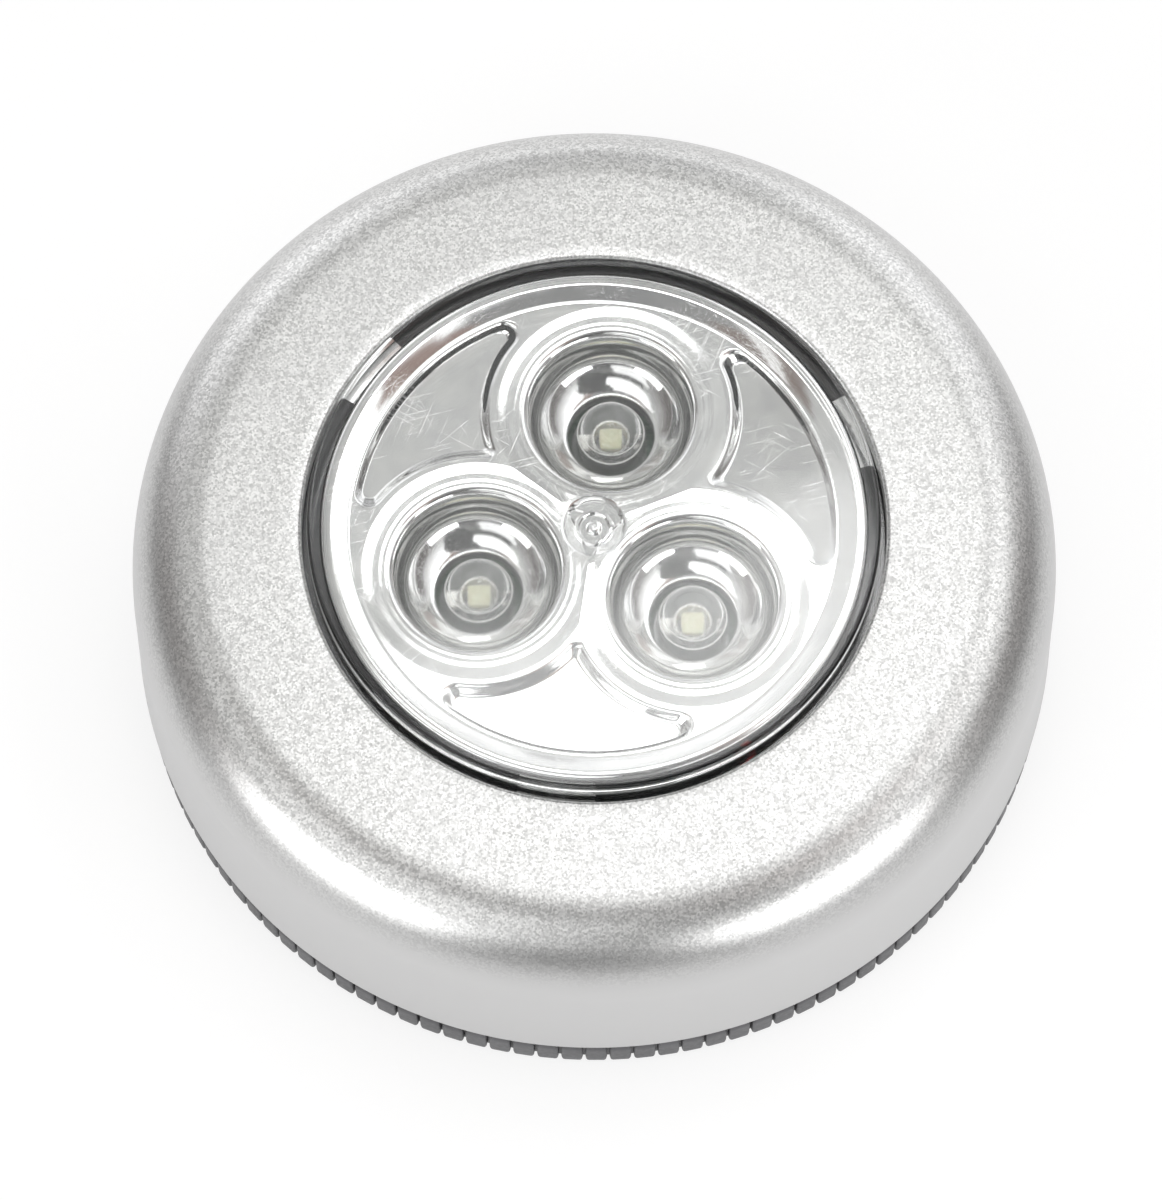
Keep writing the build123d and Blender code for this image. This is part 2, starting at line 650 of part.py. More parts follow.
with BuildPart() as reflector:
    with BuildSketch(Plane.XZ):
        with BuildLine():
            Polyline(
                (0, face_z), (rim_foot_radius, face_z), (rim_top_radius, reflector_top_z),
                (reflector_radius, reflector_top_z), (reflector_radius, tab_bottom_z),
                (reflector_radius - reflector_wall, tab_bottom_z),
                (reflector_radius - reflector_wall, face_z - reflector_plate),
                (0, face_z - reflector_plate), close=True,
            )
        make_face()
    revolve(axis=Axis.Z)
    with BuildSketch(Plane.XY.offset(tab_bottom_z)):
        for angle in cell_angles:
            add(sector(reflector_radius - reflector_wall / 2, reflector_tab_radius, angle,
                       reflector_tab_half_angle))
    extrude(amount=flange_bottom_z - tab_bottom_z)
    with PolarLocations(cup_pitch_radius, copies, start_angle=cup_angle):
        add(cup_body.part)
    with BuildSketch(Plane.XY.offset(board_top_z)):
        with PolarLocations(board_screw_place, copies, start_angle=cell_angles[0]):
            Circle(screw_radius + boss_wall)
    extrude(amount=face_z - reflector_plate - board_top_z)
    with BuildSketch(Plane.XY.offset(board_top_z)):
        with PolarLocations(board_screw_place, copies, start_angle=cell_angles[0]):
            Circle(screw_radius + thread_gap)
    extrude(amount=screw_bite, mode=Mode.SUBTRACT)
    with PolarLocations(cup_pitch_radius, copies, start_angle=cup_angle):
        add(cup_bowl.part, mode=Mode.SUBTRACT)
    with BuildSketch(Plane.XY.offset(cup_bottom_z)):
        with PolarLocations(cup_pitch_radius, copies, start_angle=cup_angle):
            Circle(cup_hole_radius)
    extrude(amount=reflector_wall + cut_overrun, mode=Mode.SUBTRACT)
    rims = reflector.edges().filter_by(GeomType.CIRCLE)
    rims = rims.filter_by(lambda edge: abs(edge.radius - cup_radius) < thread_gap)
    fillet(rims.group_by(Axis.Z)[-1], cup_edge_round)
    add(pockets.part, mode=Mode.SUBTRACT)
    with Locations((0, 0, face_z)):
        Cylinder(dish_radius, dish_depth, align=(Align.CENTER, Align.CENTER, Align.MAX), mode=Mode.SUBTRACT)
    with BuildSketch(Plane.XY.offset(face_z - dish_depth)):
        Circle(dish_ring_radius)
        Circle(dish_ring_radius - dish_ring_wall, mode=Mode.SUBTRACT)
    extrude(amount=dish_ring_height)
    with BuildSketch(Plane.XY.offset(face_z - dish_depth)):
        Circle(gate_radius)
    extrude(amount=gate_height)

# LED lead frames: an anvil that carries the chip and a plain post, both down through the board
led_places = [polar(cup_pitch_radius, angle) for angle in cup_angles]
lead_bottom_z = board_bottom_z - lead_below_board
anvil_z = board_top_z + anvil_rise
anvil_top_z = anvil_z + anvil_height
anvil_shift = (lead_pitch - anvil_width) / 2
half_lead = lead_width / 2
with BuildPart() as led_leads:
    with BuildSketch(Plane.XY.offset(lead_bottom_z)):
        with Locations(*led_places):
            with GridLocations(lead_pitch, 0, 2, 1):
                Rectangle(lead_width, lead_width)
    extrude(amount=anvil_top_z - lead_bottom_z)
    with BuildSketch(Plane.XY.offset(anvil_z)):
        with Locations(*led_places):
            with Locations((-anvil_shift, 0)):
                Rectangle(anvil_width, anvil_depth)
    extrude(amount=anvil_height)
with BuildPart() as led_chips:
    with BuildSketch(Plane.XY.offset(anvil_top_z)):
        with Locations(*led_places):
            Circle(chip_radius)
    extrude(amount=chip_height)

# Clear LED bodies cast round the lead frames
leds = []
for place in led_places:
    with BuildPart() as led:
        with BuildSketch(Plane.XY.offset(board_top_z)):
            with Locations(place):
                Circle(led_flange_radius)
        extrude(amount=led_flange_height)
        with BuildSketch(Plane.XY.offset(board_top_z)):
            with Locations(place):
                Circle(led_radius)
        extrude(amount=led_flange_height + led_barrel_height)
        with Locations(place + Vector(0, 0, dome_z)):
            Sphere(led_radius)
        add(led_leads.part, mode=Mode.SUBTRACT)
        add(led_chips.part, mode=Mode.SUBTRACT)
    leds.append(led)

# Circuit board with its holes
with BuildPart() as led_board:
    with BuildSketch(Plane.XY.offset(board_bottom_z)):
        add(rounded_triangle(board_flat, board_radius))
        with PolarLocations(board_screw_place, copies, start_angle=cell_angles[0]):
            Circle(screw_radius + screw_hole_gap, mode=Mode.SUBTRACT)
        with Locations(*led_places):
            with GridLocations(lead_pitch, 0, 2, 1):
                Circle(hypot(half_lead, half_lead) + lead_hole_gap, mode=Mode.SUBTRACT)
        with GridLocations(pin_row_gap, pin_pitch, 2, 3):
            Circle(pin_width / 2 + lead_hole_gap, mode=Mode.SUBTRACT)
    extrude(amount=board_thickness)

board_screw_points = [polar(board_screw_place, angle, board_bottom_z) for angle in cell_angles]
board_screws = screw(board_screw_points, screw_head_height, board_thickness + screw_bite - screw_tip_gap)

with BuildPart() as resistors:
    with BuildSketch(Plane.XY.offset(board_bottom_z - resistor_height)):
        for angle in cup_angles:
            with Locations(polar(resistor_place, angle + resistor_angle)):
                Rectangle(resistor_width, resistor_length, rotation=angle + resistor_angle)
    extrude(amount=resistor_height)

# Push switch: case, plunger, spring and pins
case_roof_z = board_bottom_z - switch_wall
collar_z = switch_bottom_z + switch_wall
with BuildPart() as switch_case:
    with BuildSketch(Plane.XY.offset(switch_bottom_z)):
        Rectangle(switch_width, switch_width)
    extrude(amount=switch_height)
    fillet(switch_case.edges().filter_by(Axis.Z), edge_round)
    with Locations((0, 0, collar_z)):
        Cylinder(
            plunger_collar_radius + plunger_gap, case_roof_z - collar_z,
            align=(Align.CENTER, Align.CENTER, Align.MIN), mode=Mode.SUBTRACT,
        )
    with Locations((0, 0, switch_bottom_z)):
        Cylinder(
            plunger_radius + plunger_gap, switch_wall,
            align=(Align.CENTER, Align.CENTER, Align.MIN), mode=Mode.SUBTRACT,
        )
with BuildPart() as switch_plunger:
    with Locations((0, 0, post_top_z)):
        Cylinder(plunger_radius, collar_z - post_top_z, align=(Align.CENTER, Align.CENTER, Align.MIN))
    fillet(switch_plunger.edges().group_by(Axis.Z)[0], edge_round)
    with Locations((0, 0, collar_z)):
        Cylinder(plunger_collar_radius, plunger_collar_height, align=(Align.CENTER, Align.CENTER, Align.MIN))
switch_spring = coil(
    Vector(0, 0, collar_z + plunger_collar_height), Vector(0, 0, 1),
    case_roof_z - collar_z - plunger_collar_height, switch_spring_radius, switch_wire_radius,
    switch_spring_turns,
)
with BuildPart() as switch_pins:
    with BuildSketch(Plane.XY.offset(board_bottom_z)):
        with GridLocations(pin_row_gap, pin_pitch, 2, 3):
            Rectangle(pin_thickness, pin_width)
    extrude(amount=board_thickness + pin_above_board)

# Leads: from the tabs' inner faces, through the collar and down to the board
wire_z = tray_top_z + wire_height
leads = []
for plus in (True, False):
    side = -1 if plus else 1
    along = half_cell + (0 if plus else spring_room)
    third_led = cup_angles[2]
    leads.append(wire([
        in_corner(third_led, plus, along, tab_place, wire_z),
        in_corner(third_led, plus, along - wire_first_run, tab_place, wire_z),
        polar((collar_inner + collar_outer) / 2, third_led + side * wire_slot_angle, wire_z),
        polar(wire_bend_radius, third_led + side * wire_bend_angle, wire_z),
        polar(wire_edge_radius, third_led + side * wire_edge_angle, wire_z - wire_edge_dip),
        polar(wire_end_radius, third_led + side * wire_end_angle, board_top_z + wire_end_run),
        polar(wire_end_radius, third_led + side * wire_end_angle, board_top_z),
    ]))

pieces = {
    "base_cover": base_cover.part,
    "adhesive_pad": adhesive_pad.part,
    "top_housing": top_housing.part,
    "battery_tray": battery_tray.part,
    "tray_screws": tray_screws,
    "cell_a": cells[0].part,
    "cell_b": cells[1].part,
    "cell_c": cells[2].part,
    "contact_springs": contact_springs.part,
    "bridge_contacts": bridge_contacts.part,
    "positive_terminal": end_contacts[0].part,
    "negative_terminal": end_contacts[1].part,
    "wire_red": leads[0],
    "wire_black": leads[1],
    "lens_cap": lens_cap.part,
    "reflector": reflector.part,
    "led_a": leds[0].part,
    "led_b": leds[1].part,
    "led_c": leds[2].part,
    "led_leads": led_leads.part,
    "led_chips": led_chips.part,
    "led_board": led_board.part,
    "board_screws": board_screws,
    "resistors": resistors.part,
    "switch_case": switch_case.part,
    "switch_plunger": switch_plunger.part,
    "switch_spring": switch_spring,
    "switch_pins": switch_pins.part,
}
os.makedirs("parts", exist_ok=True)
for name, solid in pieces.items():
    solid.label = name
    export_step(solid, f"parts/{name}.step")
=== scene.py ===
from math import acos, asin, atan2, cos, pi, radians, sin, sqrt, tan

import bmesh
import bpy
from mathutils import Matrix, Quaternion, Vector


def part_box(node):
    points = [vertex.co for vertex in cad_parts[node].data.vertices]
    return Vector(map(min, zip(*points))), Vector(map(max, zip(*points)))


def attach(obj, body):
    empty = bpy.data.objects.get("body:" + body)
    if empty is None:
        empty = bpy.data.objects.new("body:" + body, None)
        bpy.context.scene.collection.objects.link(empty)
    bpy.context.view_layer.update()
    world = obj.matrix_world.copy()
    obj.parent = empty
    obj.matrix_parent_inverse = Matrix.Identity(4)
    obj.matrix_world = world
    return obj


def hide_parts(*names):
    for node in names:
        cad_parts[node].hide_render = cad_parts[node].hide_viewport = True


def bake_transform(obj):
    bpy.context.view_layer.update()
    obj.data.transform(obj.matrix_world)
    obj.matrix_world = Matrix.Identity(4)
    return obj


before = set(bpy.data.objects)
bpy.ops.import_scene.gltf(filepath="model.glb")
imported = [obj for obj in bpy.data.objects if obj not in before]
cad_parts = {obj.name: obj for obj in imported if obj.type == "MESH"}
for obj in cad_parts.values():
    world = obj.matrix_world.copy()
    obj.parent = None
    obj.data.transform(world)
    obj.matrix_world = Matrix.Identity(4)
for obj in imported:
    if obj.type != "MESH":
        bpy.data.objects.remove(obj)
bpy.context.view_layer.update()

# Round battery cabinet light, in metres. +Z is up and -Y is towards the viewer.

# Sizes read from the frame
housing_low, housing_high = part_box("top_housing")
base_low, base_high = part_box("base_cover")
lens_low, lens_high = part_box("lens_cap")
pad_low, pad_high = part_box("adhesive_pad")
led_low, led_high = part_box("led_a")
chip_low, chip_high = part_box("led_chips")
lead_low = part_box("led_leads")[0]
tray_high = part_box("battery_tray")[1]
board_low, board_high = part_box("led_board")
cell_low, cell_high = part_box("cell_a")
spring_low, spring_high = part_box("switch_spring")

# Directions and copies
first_cup = radians(82)
third_turn = radians(120)
sixth_turn = radians(60)
quarter_turn = radians(90)
copies = 3
cup_angles = [first_cup + third_turn * copy for copy in range(copies)]
cell_angles = [angle - sixth_turn for angle in cup_angles]

# Housing
foot_radius = housing_high.x
panel_z = housing_high.z
foot_z = housing_low.z
skirt_wall = 0.0014
skirt_draft = 0.0004
shoulder_width = 0.0059
shoulder_drop = 0.0068
panel_wall = 0.0015
opening_radius = 0.021
edge_round = 0.0003
shoulder_radius = foot_radius - skirt_draft
panel_radius = shoulder_radius - shoulder_width
shoulder_z = panel_z - shoulder_drop
inner_radius = shoulder_radius - skirt_wall
turn_steps = 288

# How far a boss or hook reaches into the wall that it stands on
root = 0.0002

# Collar, keys, bosses and catches inside the housing
collar_inner = 0.02255
collar_wall = 0.00115
key_depth = 0.00065
key_width = 0.0012
wire_slot_angle = radians(16)
wire_slot_half_angle = radians(4)
wire_slot_height = 0.0021
boss_radius = 0.0019
boss_bore = 0.00082
boss_top_z = 0.01944
screw_bite = 0.004
screw_place = inner_radius - 0.0034
screw_angle = radians(24)
hook_angle = radians(-9)
hook_half_angle = radians(8)
stop_angle = radians(1.5)
catch_z = 0.0065
catch_thickness = 0.0015
catch_outer = shoulder_radius - skirt_wall / 2
hook_reach = 0.0013
hook_wall = 0.0012
hook_thickness = 0.0014
hook_top_z = base_high.z
hook_radius = inner_radius - 0.0001
hook_stem_outer = hook_radius - hook_reach
catch_inner = hook_stem_outer + 0.0003

# Base
base_floor_z = base_low.z + 0.0016
knurl_count = 120
knurl_depth = 0.00045
knurl_gap = 0.0002
knurl_round = 0.00022
knurl_end_round = 0.0002
base_fillet = 0.0003
floor_fillet = 0.0004
neck_height = 0.00025
neck_radius = base_high.x - knurl_depth - 0.0003
rim_inner_radius = neck_radius - 0.00125
pad_recess_radius = 0.027
pad_recess_z = pad_high.z

# Lens
lens_radius = 0.02055
lens_side_wall = 0.0009
lens_top_wall = 0.0013
lens_round = 0.0004
lens_fillet = 0.0007
flange_height = 0.001
flange_notch = 0.00085
flange_notch_width = 0.0016

# Cups and LEDs
cup_pitch = 0.009
led_radius = 0.00245
led_flange_radius = 0.0029
led_flange_height = 0.001
led_flat = led_radius * 1.06
# Painted highlight rings round each LED dome, opaque white beads in place of the dome's bright edge reflections:
# height above its foot, and thickness
painted_glint_rings = ((0.0004, 0.00008), (0.00125, 0.00004))
dome_z = led_high.z - led_radius
lead_pitch = 0.00254
lead_width = 0.0005

# Reflector
reflector_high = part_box("reflector")[1]
reflector_radius = lens_radius - lens_side_wall - 0.00015
reflector_wall = 0.001
reflector_plate = 0.0012
rim_rise = 0.00045
rim_top_radius = reflector_radius - 0.0007
rim_foot_radius = rim_top_radius - 0.0013
rim_blend = 0.0003
tab_radius = 0.0215
tab_half_angle = radians(8)
tab_top_z = lens_low.z - 0.00006
tab_bottom_z = lens_low.z - reflector_wall
face_z = reflector_high.z - rim_rise
cup_radius = 0.0065
cup_hole_radius = led_radius + 0.00068
cup_bottom_z = dome_z - reflector_wall
cup_depth = (face_z - dome_z) / sqrt(1 - (cup_hole_radius / cup_radius) ** 2)
cup_lip = ((0.00013, 0), (-0.00033, 0), (-0.0005, 0.0004))
cup_lip_end = radians(38)
# Soft steps of the plated face round a cup: height, and where each step starts and ends from the cup's middle
land_relief = 0.000055
land_inner_step = (0.0068, 0.0071)
land_outer_step = (0.0074, 0.0084)
# Tilt of the pocket floors about a line across the light, and their drop at the edge
pocket_lean = tan(radians(2.6))
pocket_lean_y = -0.004
pocket_lean_reach = 0.009
pocket_step = 0.00004
pocket_edge = (0.0078, 0.0080)
pocket_radius = rim_foot_radius - 0.0001
pocket_depth = 0.00055
pocket_top_radius = cup_radius + 0.0021
pocket_foot_radius = cup_radius + 0.0031
pocket_outer_wall = 0.0005
pocket_tip_radii = (0.0011, 0.0005)
pocket_corner_radii = (0.0006, 0.0002)
pocket_steps = 16
dish_radius = 0.00224
dish_depth = 0.0005
# Rings on the dish's floor: radius, and height above the floor
dish_rings = (
    (0.00147, 0), (0.00140, 0.00005), (0.00138, 0.00022), (0.00130, 0.0003), (0.00114, 0.0003),
    (0.00106, 0.00022), (0.00104, 0.00005), (0.00098, 0), (0.0006, 0), (0.00052, 0.00006), (0.0005, 0.0003),
    (0.00042, 0.00038), (0.0002, 0.0004),
)
board_screw_place = 0.0074

# Cells
cell_radius = 0.00525
cell_length = 0.0445
cell_nub_radius = 0.0019
cell_nub_length = 0.0008
cell_z = (cell_low.z + cell_high.z) / 2
cell_distance = cell_radius + cell_length / 2 / tan(sixth_turn) + 0.0001
spring_room = 0.0018
contact_gap = 0.00002

# Leads: radius, angle from the third cup and height where each leaves its contact and where it meets the board
lead_start = (0.0137, radians(27), 0.0153)
lead_end = (0.0114, radians(31), 0.01325)


def polar(radius, angle, height=0.0):
    """Point at a radius, an angle and a height."""
    return Vector((radius * cos(angle), radius * sin(angle), height))


def whole_turn(steps):
    """Even angles round a circle."""
    return [2 * pi * step / steps for step in range(steps)]


def arc(centre, radii, start, end, steps):
    """Points (radius, height) along a part of a circle, or of an ellipse with two radii."""
    across, up = radii if isinstance(radii, tuple) else (radii, radii)
    turns = [start + (end - start) * step / steps for step in range(steps + 1)]
    return [(centre[0] + across * cos(turn), centre[1] + up * sin(turn)) for turn in turns]


def mixed_value(first, last, share):
    """Value part of the way between two others."""
    return first + (last - first) * share


def linked(name, data):
    """New object in the scene."""
    made = bpy.data.objects.new(name, data)
    bpy.context.scene.collection.objects.link(made)
    return made


def as_mesh(shape):
    """Plain mesh from a bmesh, with its doubles merged and its faces outwards."""
    bmesh.ops.remove_doubles(shape, verts=shape.verts, dist=1e-7)
    bmesh.ops.recalc_face_normals(shape, faces=shape.faces)
    mesh = bpy.data.meshes.new("shape")
    shape.to_mesh(mesh)
    shape.free()
    return mesh


def finished(name, form, body, material, *replaced, crease=35):
    """Object for a form in place: shaded, painted, riding its body and standing for its nodes."""
    mesh = as_mesh(form) if isinstance(form, bmesh.types.BMesh) else form
    mesh.name = name
    mesh.shade_smooth()
    if crease:
        mesh.set_sharp_from_angle(angle=radians(crease))
    mesh.materials.clear()
    mesh.materials.append(material)
    piece = linked(name, mesh)
    if body:
        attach(piece, body)
    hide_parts(*replaced)
    return piece


def join_loops(shape, loops, closed=False):
    """Adds faces between neighbouring loops of as many points, or of one point at a pole."""
    for low, high in zip(loops, loops[1:] + loops[:1] if closed else loops[1:]):
        if len(low) == len(high) == 1:
            continue
        for place in range(max(len(low), len(high))):
            after = place + 1
            corners = (
                low[place % len(low)], low[after % len(low)], high[after % len(high)], high[place % len(high)],
            )
            shape.faces.new(list(dict.fromkeys(corners)))


def turn_outline(shape, outline, angles=whole_turn(turn_steps), widen=None, closed=True, centre=Vector()):
    """Adds an outline of (radius, height) points turned round an upright axis, and gives its loops."""
    loops = []
    for radius, height in outline:
        loop = []
        for place, angle in enumerate(angles if radius else [0]):
            reach = widen(radius, height, place) if widen else radius
            loop.append(shape.verts.new(polar(reach, angle, height) + centre))
        loops.append(loop)
    join_loops(shape, loops, closed)
    return loops


def add_block(shape, inner, outer, middle, half_angle, bottom, top, steps=16):
    """Adds a solid between two radii, two heights and two angles."""
    columns = []
    for step in range(steps + 1):
        angle = middle + half_angle * (2 * step / steps - 1)
        columns.append([
            shape.verts.new(polar(reach, angle, height))
            for reach, height in ((inner, bottom), (outer, bottom), (outer, top), (inner, top))
        ])
    join_loops(shape, columns)
    shape.faces.new(columns[0])
    shape.faces.new(list(reversed(columns[-1])))


def add_box(shape, low, high, turn=Matrix()):
    """Adds a box between two corners, turned about the origin by a matrix."""
    corners = [Vector((x, y, z)) for z in (low[2], high[2]) for y in (low[1], high[1]) for x in (low[0], high[0])]
    made = [shape.verts.new(turn @ corner) for corner in corners]
    for face in ((0, 1, 3, 2), (4, 5, 7, 6), (0, 1, 5, 4), (2, 3, 7, 6), (0, 2, 6, 4), (1, 3, 7, 5)):
        shape.faces.new([made[corner] for corner in face])


def add_boss(shape, bottom, top, place):
    """Adds an upright boss with a screw bore in its lower end."""
    turn_outline(shape, [
        (boss_bore, bottom), (boss_radius, bottom), (boss_radius, top), (0, top),
        (0, bottom + screw_bite), (boss_bore, bottom + screw_bite),
    ], whole_turn(40), centre=place)


# Nodes

class Output:
    """Output of a node. Signs between outputs add Math nodes, and brackets give the node's other outputs."""

    def __init__(self, socket):
        self.socket = socket
        self.tree = socket.id_data

    def __getitem__(self, name):
        return Output(self.socket.node.outputs[name])

    def math(self, operation, *others):
        return add_node(self.tree, "ShaderNodeMath", dict(enumerate((self, *others))), operation=operation)

    def __add__(self, other):
        return self.math("ADD", other)

    def __sub__(self, other):
        return self.math("SUBTRACT", other)

    def __rsub__(self, other):
        return self.math("MULTIPLY_ADD", -1.0, other)

    def __mul__(self, other):
        return self.math("MULTIPLY", other)

    def __truediv__(self, other):
        return self.math("DIVIDE", other)


def add_node(tree, kind, inputs=None, **settings):
    """Adds a node, sets its options, and links or sets its inputs by name or place. Gives its first output."""
    made = tree.nodes.new(kind)
    for option, value in settings.items():
        setattr(made, option, value)
    for name, value in (inputs or {}).items():
        socket = made.inputs[name]
        if isinstance(value, Output):
            tree.links.new(value.socket, socket)
        elif socket.type == "RGBA":
            socket.default_value = (*value, 1) if isinstance(value, tuple) else (value, value, value, 1)
        else:
            socket.default_value = value
    return Output(made.outputs[0])


def extreme(operation, values):
    """Lowest or highest of several outputs."""
    found = values[0]
    for value in values[1:]:
        found = found.math(operation, value)
    return found


def vector_of(tree, **parts):
    """Vector from its parts X, Y and Z."""
    return add_node(tree, "ShaderNodeCombineXYZ", parts)


def split(vector):
    """Parts X, Y and Z of a vector."""
    return add_node(vector.tree, "ShaderNodeSeparateXYZ", {"Vector": vector})


def vector_math(operation, *vectors):
    """Output of a Vector Math node."""
    return add_node(vectors[0].tree, "ShaderNodeVectorMath", dict(enumerate(vectors)), operation=operation)


# Geometry Nodes for what repeats

def node_group(name, *labels):
    """Empty Geometry Nodes tree, and its named inputs with the material as the last."""
    tree = bpy.data.node_groups.new(name, "GeometryNodeTree")
    for label in (*labels, "Material"):
        kind = {"Piece": "Object", "Copies": "Int", "Material": "Material"}.get(label, "Float")
        tree.interface.new_socket(label, in_out="INPUT", socket_type="NodeSocket" + kind)
    tree.interface.new_socket("Geometry", in_out="OUTPUT", socket_type="NodeSocketGeometry")
    return tree, [Output(socket) for socket in tree.nodes.new("NodeGroupInput").outputs if socket.name]


def end_tree(geometry, material):
    """Realizes the instances, sets the material and ends the tree."""
    tree = geometry.tree
    realized = add_node(tree, "GeometryNodeRealizeInstances", {"Geometry": geometry})
    painted = add_node(tree, "GeometryNodeSetMaterial", {"Geometry": realized, "Material": material})
    tree.links.new(painted.socket, tree.nodes.new("NodeGroupOutput").inputs[0])
    return tree


def rib_tree():
    """Upright flat-faced rib with rounded edges and ends."""
    tree, (width, depth, edge_round, bottom, height, end_round, material) = node_group(
        "knurl rib", "Width", "Depth", "Edge Round", "Bottom", "Height", "End Round")
    points = add_node(tree, "GeometryNodeResampleCurve", {
        "Curve": add_node(tree, "GeometryNodeCurvePrimitiveLine"), "Count": 10,
    })
    factor = add_node(tree, "GeometryNodeSplineParameter")["Factor"]
    rise = ((factor * pi).math("COSINE") * -0.5 + 0.5) * height
    spread = add_node(tree, "GeometryNodeSetPosition", {
        "Geometry": points, "Position": vector_of(tree, Z=rise + bottom),
    })
    nearest = rise.math("MINIMUM", height - rise)
    inward = 1.0 - (nearest / end_round).math("MINIMUM", 1.0)
    lost = (1.0 - (1.0 - inward * inward).math("SQRT")) * end_round
    block = add_node(tree, "GeometryNodeCurvePrimitiveQuadrilateral", {"Width": width, "Height": depth * 2.0})
    rounded = add_node(tree, "GeometryNodeFilletCurve", {
        "Curve": block, "Count": 3, "Radius": edge_round,
    }, mode="POLY")
    rib = add_node(tree, "GeometryNodeCurveToMesh", {
        "Curve": spread, "Profile Curve": rounded, "Scale": 1.0 - lost / depth, "Fill Caps": True,
    })
    return end_tree(rib, material)


def coil_tree():
    """Round wire wound into a spring that stands on the origin."""
    tree, (turns, coil, wire, height, material) = node_group(
        "coil spring", "Turns", "Coil Radius", "Wire Radius", "Height")
    spiral = add_node(tree, "GeometryNodeCurveSpiral", {
        "Resolution": 40, "Rotations": turns, "Start Radius": coil, "End Radius": coil, "Height": height - wire * 2.0,
    })
    lifted = add_node(tree, "GeometryNodeTransform", {"Geometry": spiral, "Translation": vector_of(tree, Z=wire)})
    section = add_node(tree, "GeometryNodeCurvePrimitiveCircle", {"Resolution": 12, "Radius": wire})
    wound = add_node(tree, "GeometryNodeCurveToMesh", {
        "Curve": lifted, "Profile Curve": section, "Fill Caps": True,
    })
    return end_tree(wound, material)


def ring_tree():
    """Copies of one piece round the Z axis, each turned to face outwards."""
    tree, (piece, count, radius, start, height, turned, material) = node_group(
        "ring of copies", "Piece", "Copies", "Ring Radius", "Start Angle", "Height", "Turned")
    angle = add_node(tree, "GeometryNodeInputIndex") / count * (2 * pi) + start
    placed = add_node(tree, "GeometryNodeSetPosition", {
        "Geometry": add_node(tree, "GeometryNodePoints", {"Count": count}),
        "Position": vector_of(tree, X=angle.math("COSINE") * radius, Y=angle.math("SINE") * radius, Z=height),
    })
    copied = add_node(tree, "GeometryNodeInstanceOnPoints", {
        "Points": placed, "Instance": add_node(tree, "GeometryNodeObjectInfo", {"Object": piece})["Geometry"],
        "Rotation": vector_of(tree, Z=angle * turned),
    })
    return end_tree(copied, material)


def grown(tree, values):
    """Plain mesh that a Geometry Nodes tree makes from the values of its named inputs."""
    carrier = linked("carrier", bpy.data.meshes.new("carrier"))
    modifier = carrier.modifiers.new("made", "NODES")
    modifier.node_group = tree
    sockets = {item.name: item.identifier for item in tree.interface.items_tree if item.in_out == "INPUT"}
    for label, value in values.items():
        modifier[sockets[label]] = value
    bpy.context.view_layer.update()
    evaluated = carrier.evaluated_get(bpy.context.evaluated_depsgraph_get())
    mesh = bpy.data.meshes.new_from_object(evaluated)
    bpy.data.objects.remove(carrier)
    return mesh


def ring_of(mesh, radius, start, height, material, count=copies, turned=1.0):
    """Plain mesh with copies of a form round the Z axis."""
    holder = linked("form", mesh)
    made = grown(ring_copies, {
        "Piece": holder, "Copies": count, "Ring Radius": radius, "Start Angle": start,
        "Height": height, "Turned": turned, "Material": material,
    })
    bpy.data.objects.remove(holder)
    return made


# Materials


def new_material(name):
    """Material with an empty node tree, and its object coordinates."""
    made = bpy.data.materials.new(name)
    made.use_nodes = True
    made.node_tree.nodes.clear()
    return made, add_node(made.node_tree, "ShaderNodeTexCoord")["Object"]


def shown(made, shader):
    """Ends a material with a shader."""
    output = made.node_tree.nodes.new("ShaderNodeOutputMaterial")
    made.node_tree.links.new(shader.socket, output.inputs[0])
    return made


def surfaced(made, values):
    """Ends a material with a Principled shader."""
    return shown(made, add_node(made.node_tree, "ShaderNodeBsdfPrincipled", values))


def mixed_shader(factor, first, second):
    """Mix of two shaders."""
    return add_node(factor.tree, "ShaderNodeMixShader", {0: factor, 1: first, 2: second})


def mapped(places, kind="POINT", **settings):
    """Places through a Mapping node."""
    return add_node(places.tree, "ShaderNodeMapping", {"Vector": places, **settings}, vector_type=kind)


def noise(places, scale, detail=2.0, roughness=0.5):
    """Noise values, 0 to 1."""
    return add_node(places.tree, "ShaderNodeTexNoise", {
        "Vector": places, "Scale": scale, "Detail": detail, "Roughness": roughness,
    })


def voronoi(places, scale):
    """Distance to the nearest of many scattered points."""
    return add_node(places.tree, "ShaderNodeTexVoronoi", {"Vector": places, "Scale": scale})


def chances(scattered):
    """Random value for each of the scattered points, 0 to 1."""
    return add_node(scattered.tree, "ShaderNodeSeparateColor", {"Color": scattered["Color"]})


def between(value, low, high, start=0.0, end=1.0, kind="LINEAR"):
    """Value mapped from one range to another."""
    return add_node(value.tree, "ShaderNodeMapRange", {
        "Value": value, "From Min": low, "From Max": high, "To Min": start, "To Max": end,
    }, interpolation_type=kind)


def soft_step(value, low, high):
    """Smooth rise from 0 to 1 between two values."""
    return between(value, low, high, kind="SMOOTHSTEP")


def ranged(grain, start=0.0, end=1.0):
    """Noise spread over a range."""
    return between(grain, 0.3, 0.7, start, end)


def patchy(grain, end=1.0):
    """Noise with a steeper rise, so that it leaves patches."""
    return between(grain, 0.35, 0.65, 0.0, end)


def blended(factor, first, second):
    """Mix of two colours, where a single number stands for a grey."""
    return add_node(factor.tree, "ShaderNodeMix", {0: factor, 6: first, 7: second}, data_type="RGBA")[2]


def bumped(height, distance, strength=1.0, under=None):
    """Normals from a height, over other normals where these are given."""
    inputs = {"Height": height, "Distance": distance, "Strength": strength}
    if under:
        inputs["Normal"] = under
    return add_node(height.tree, "ShaderNodeBump", inputs)


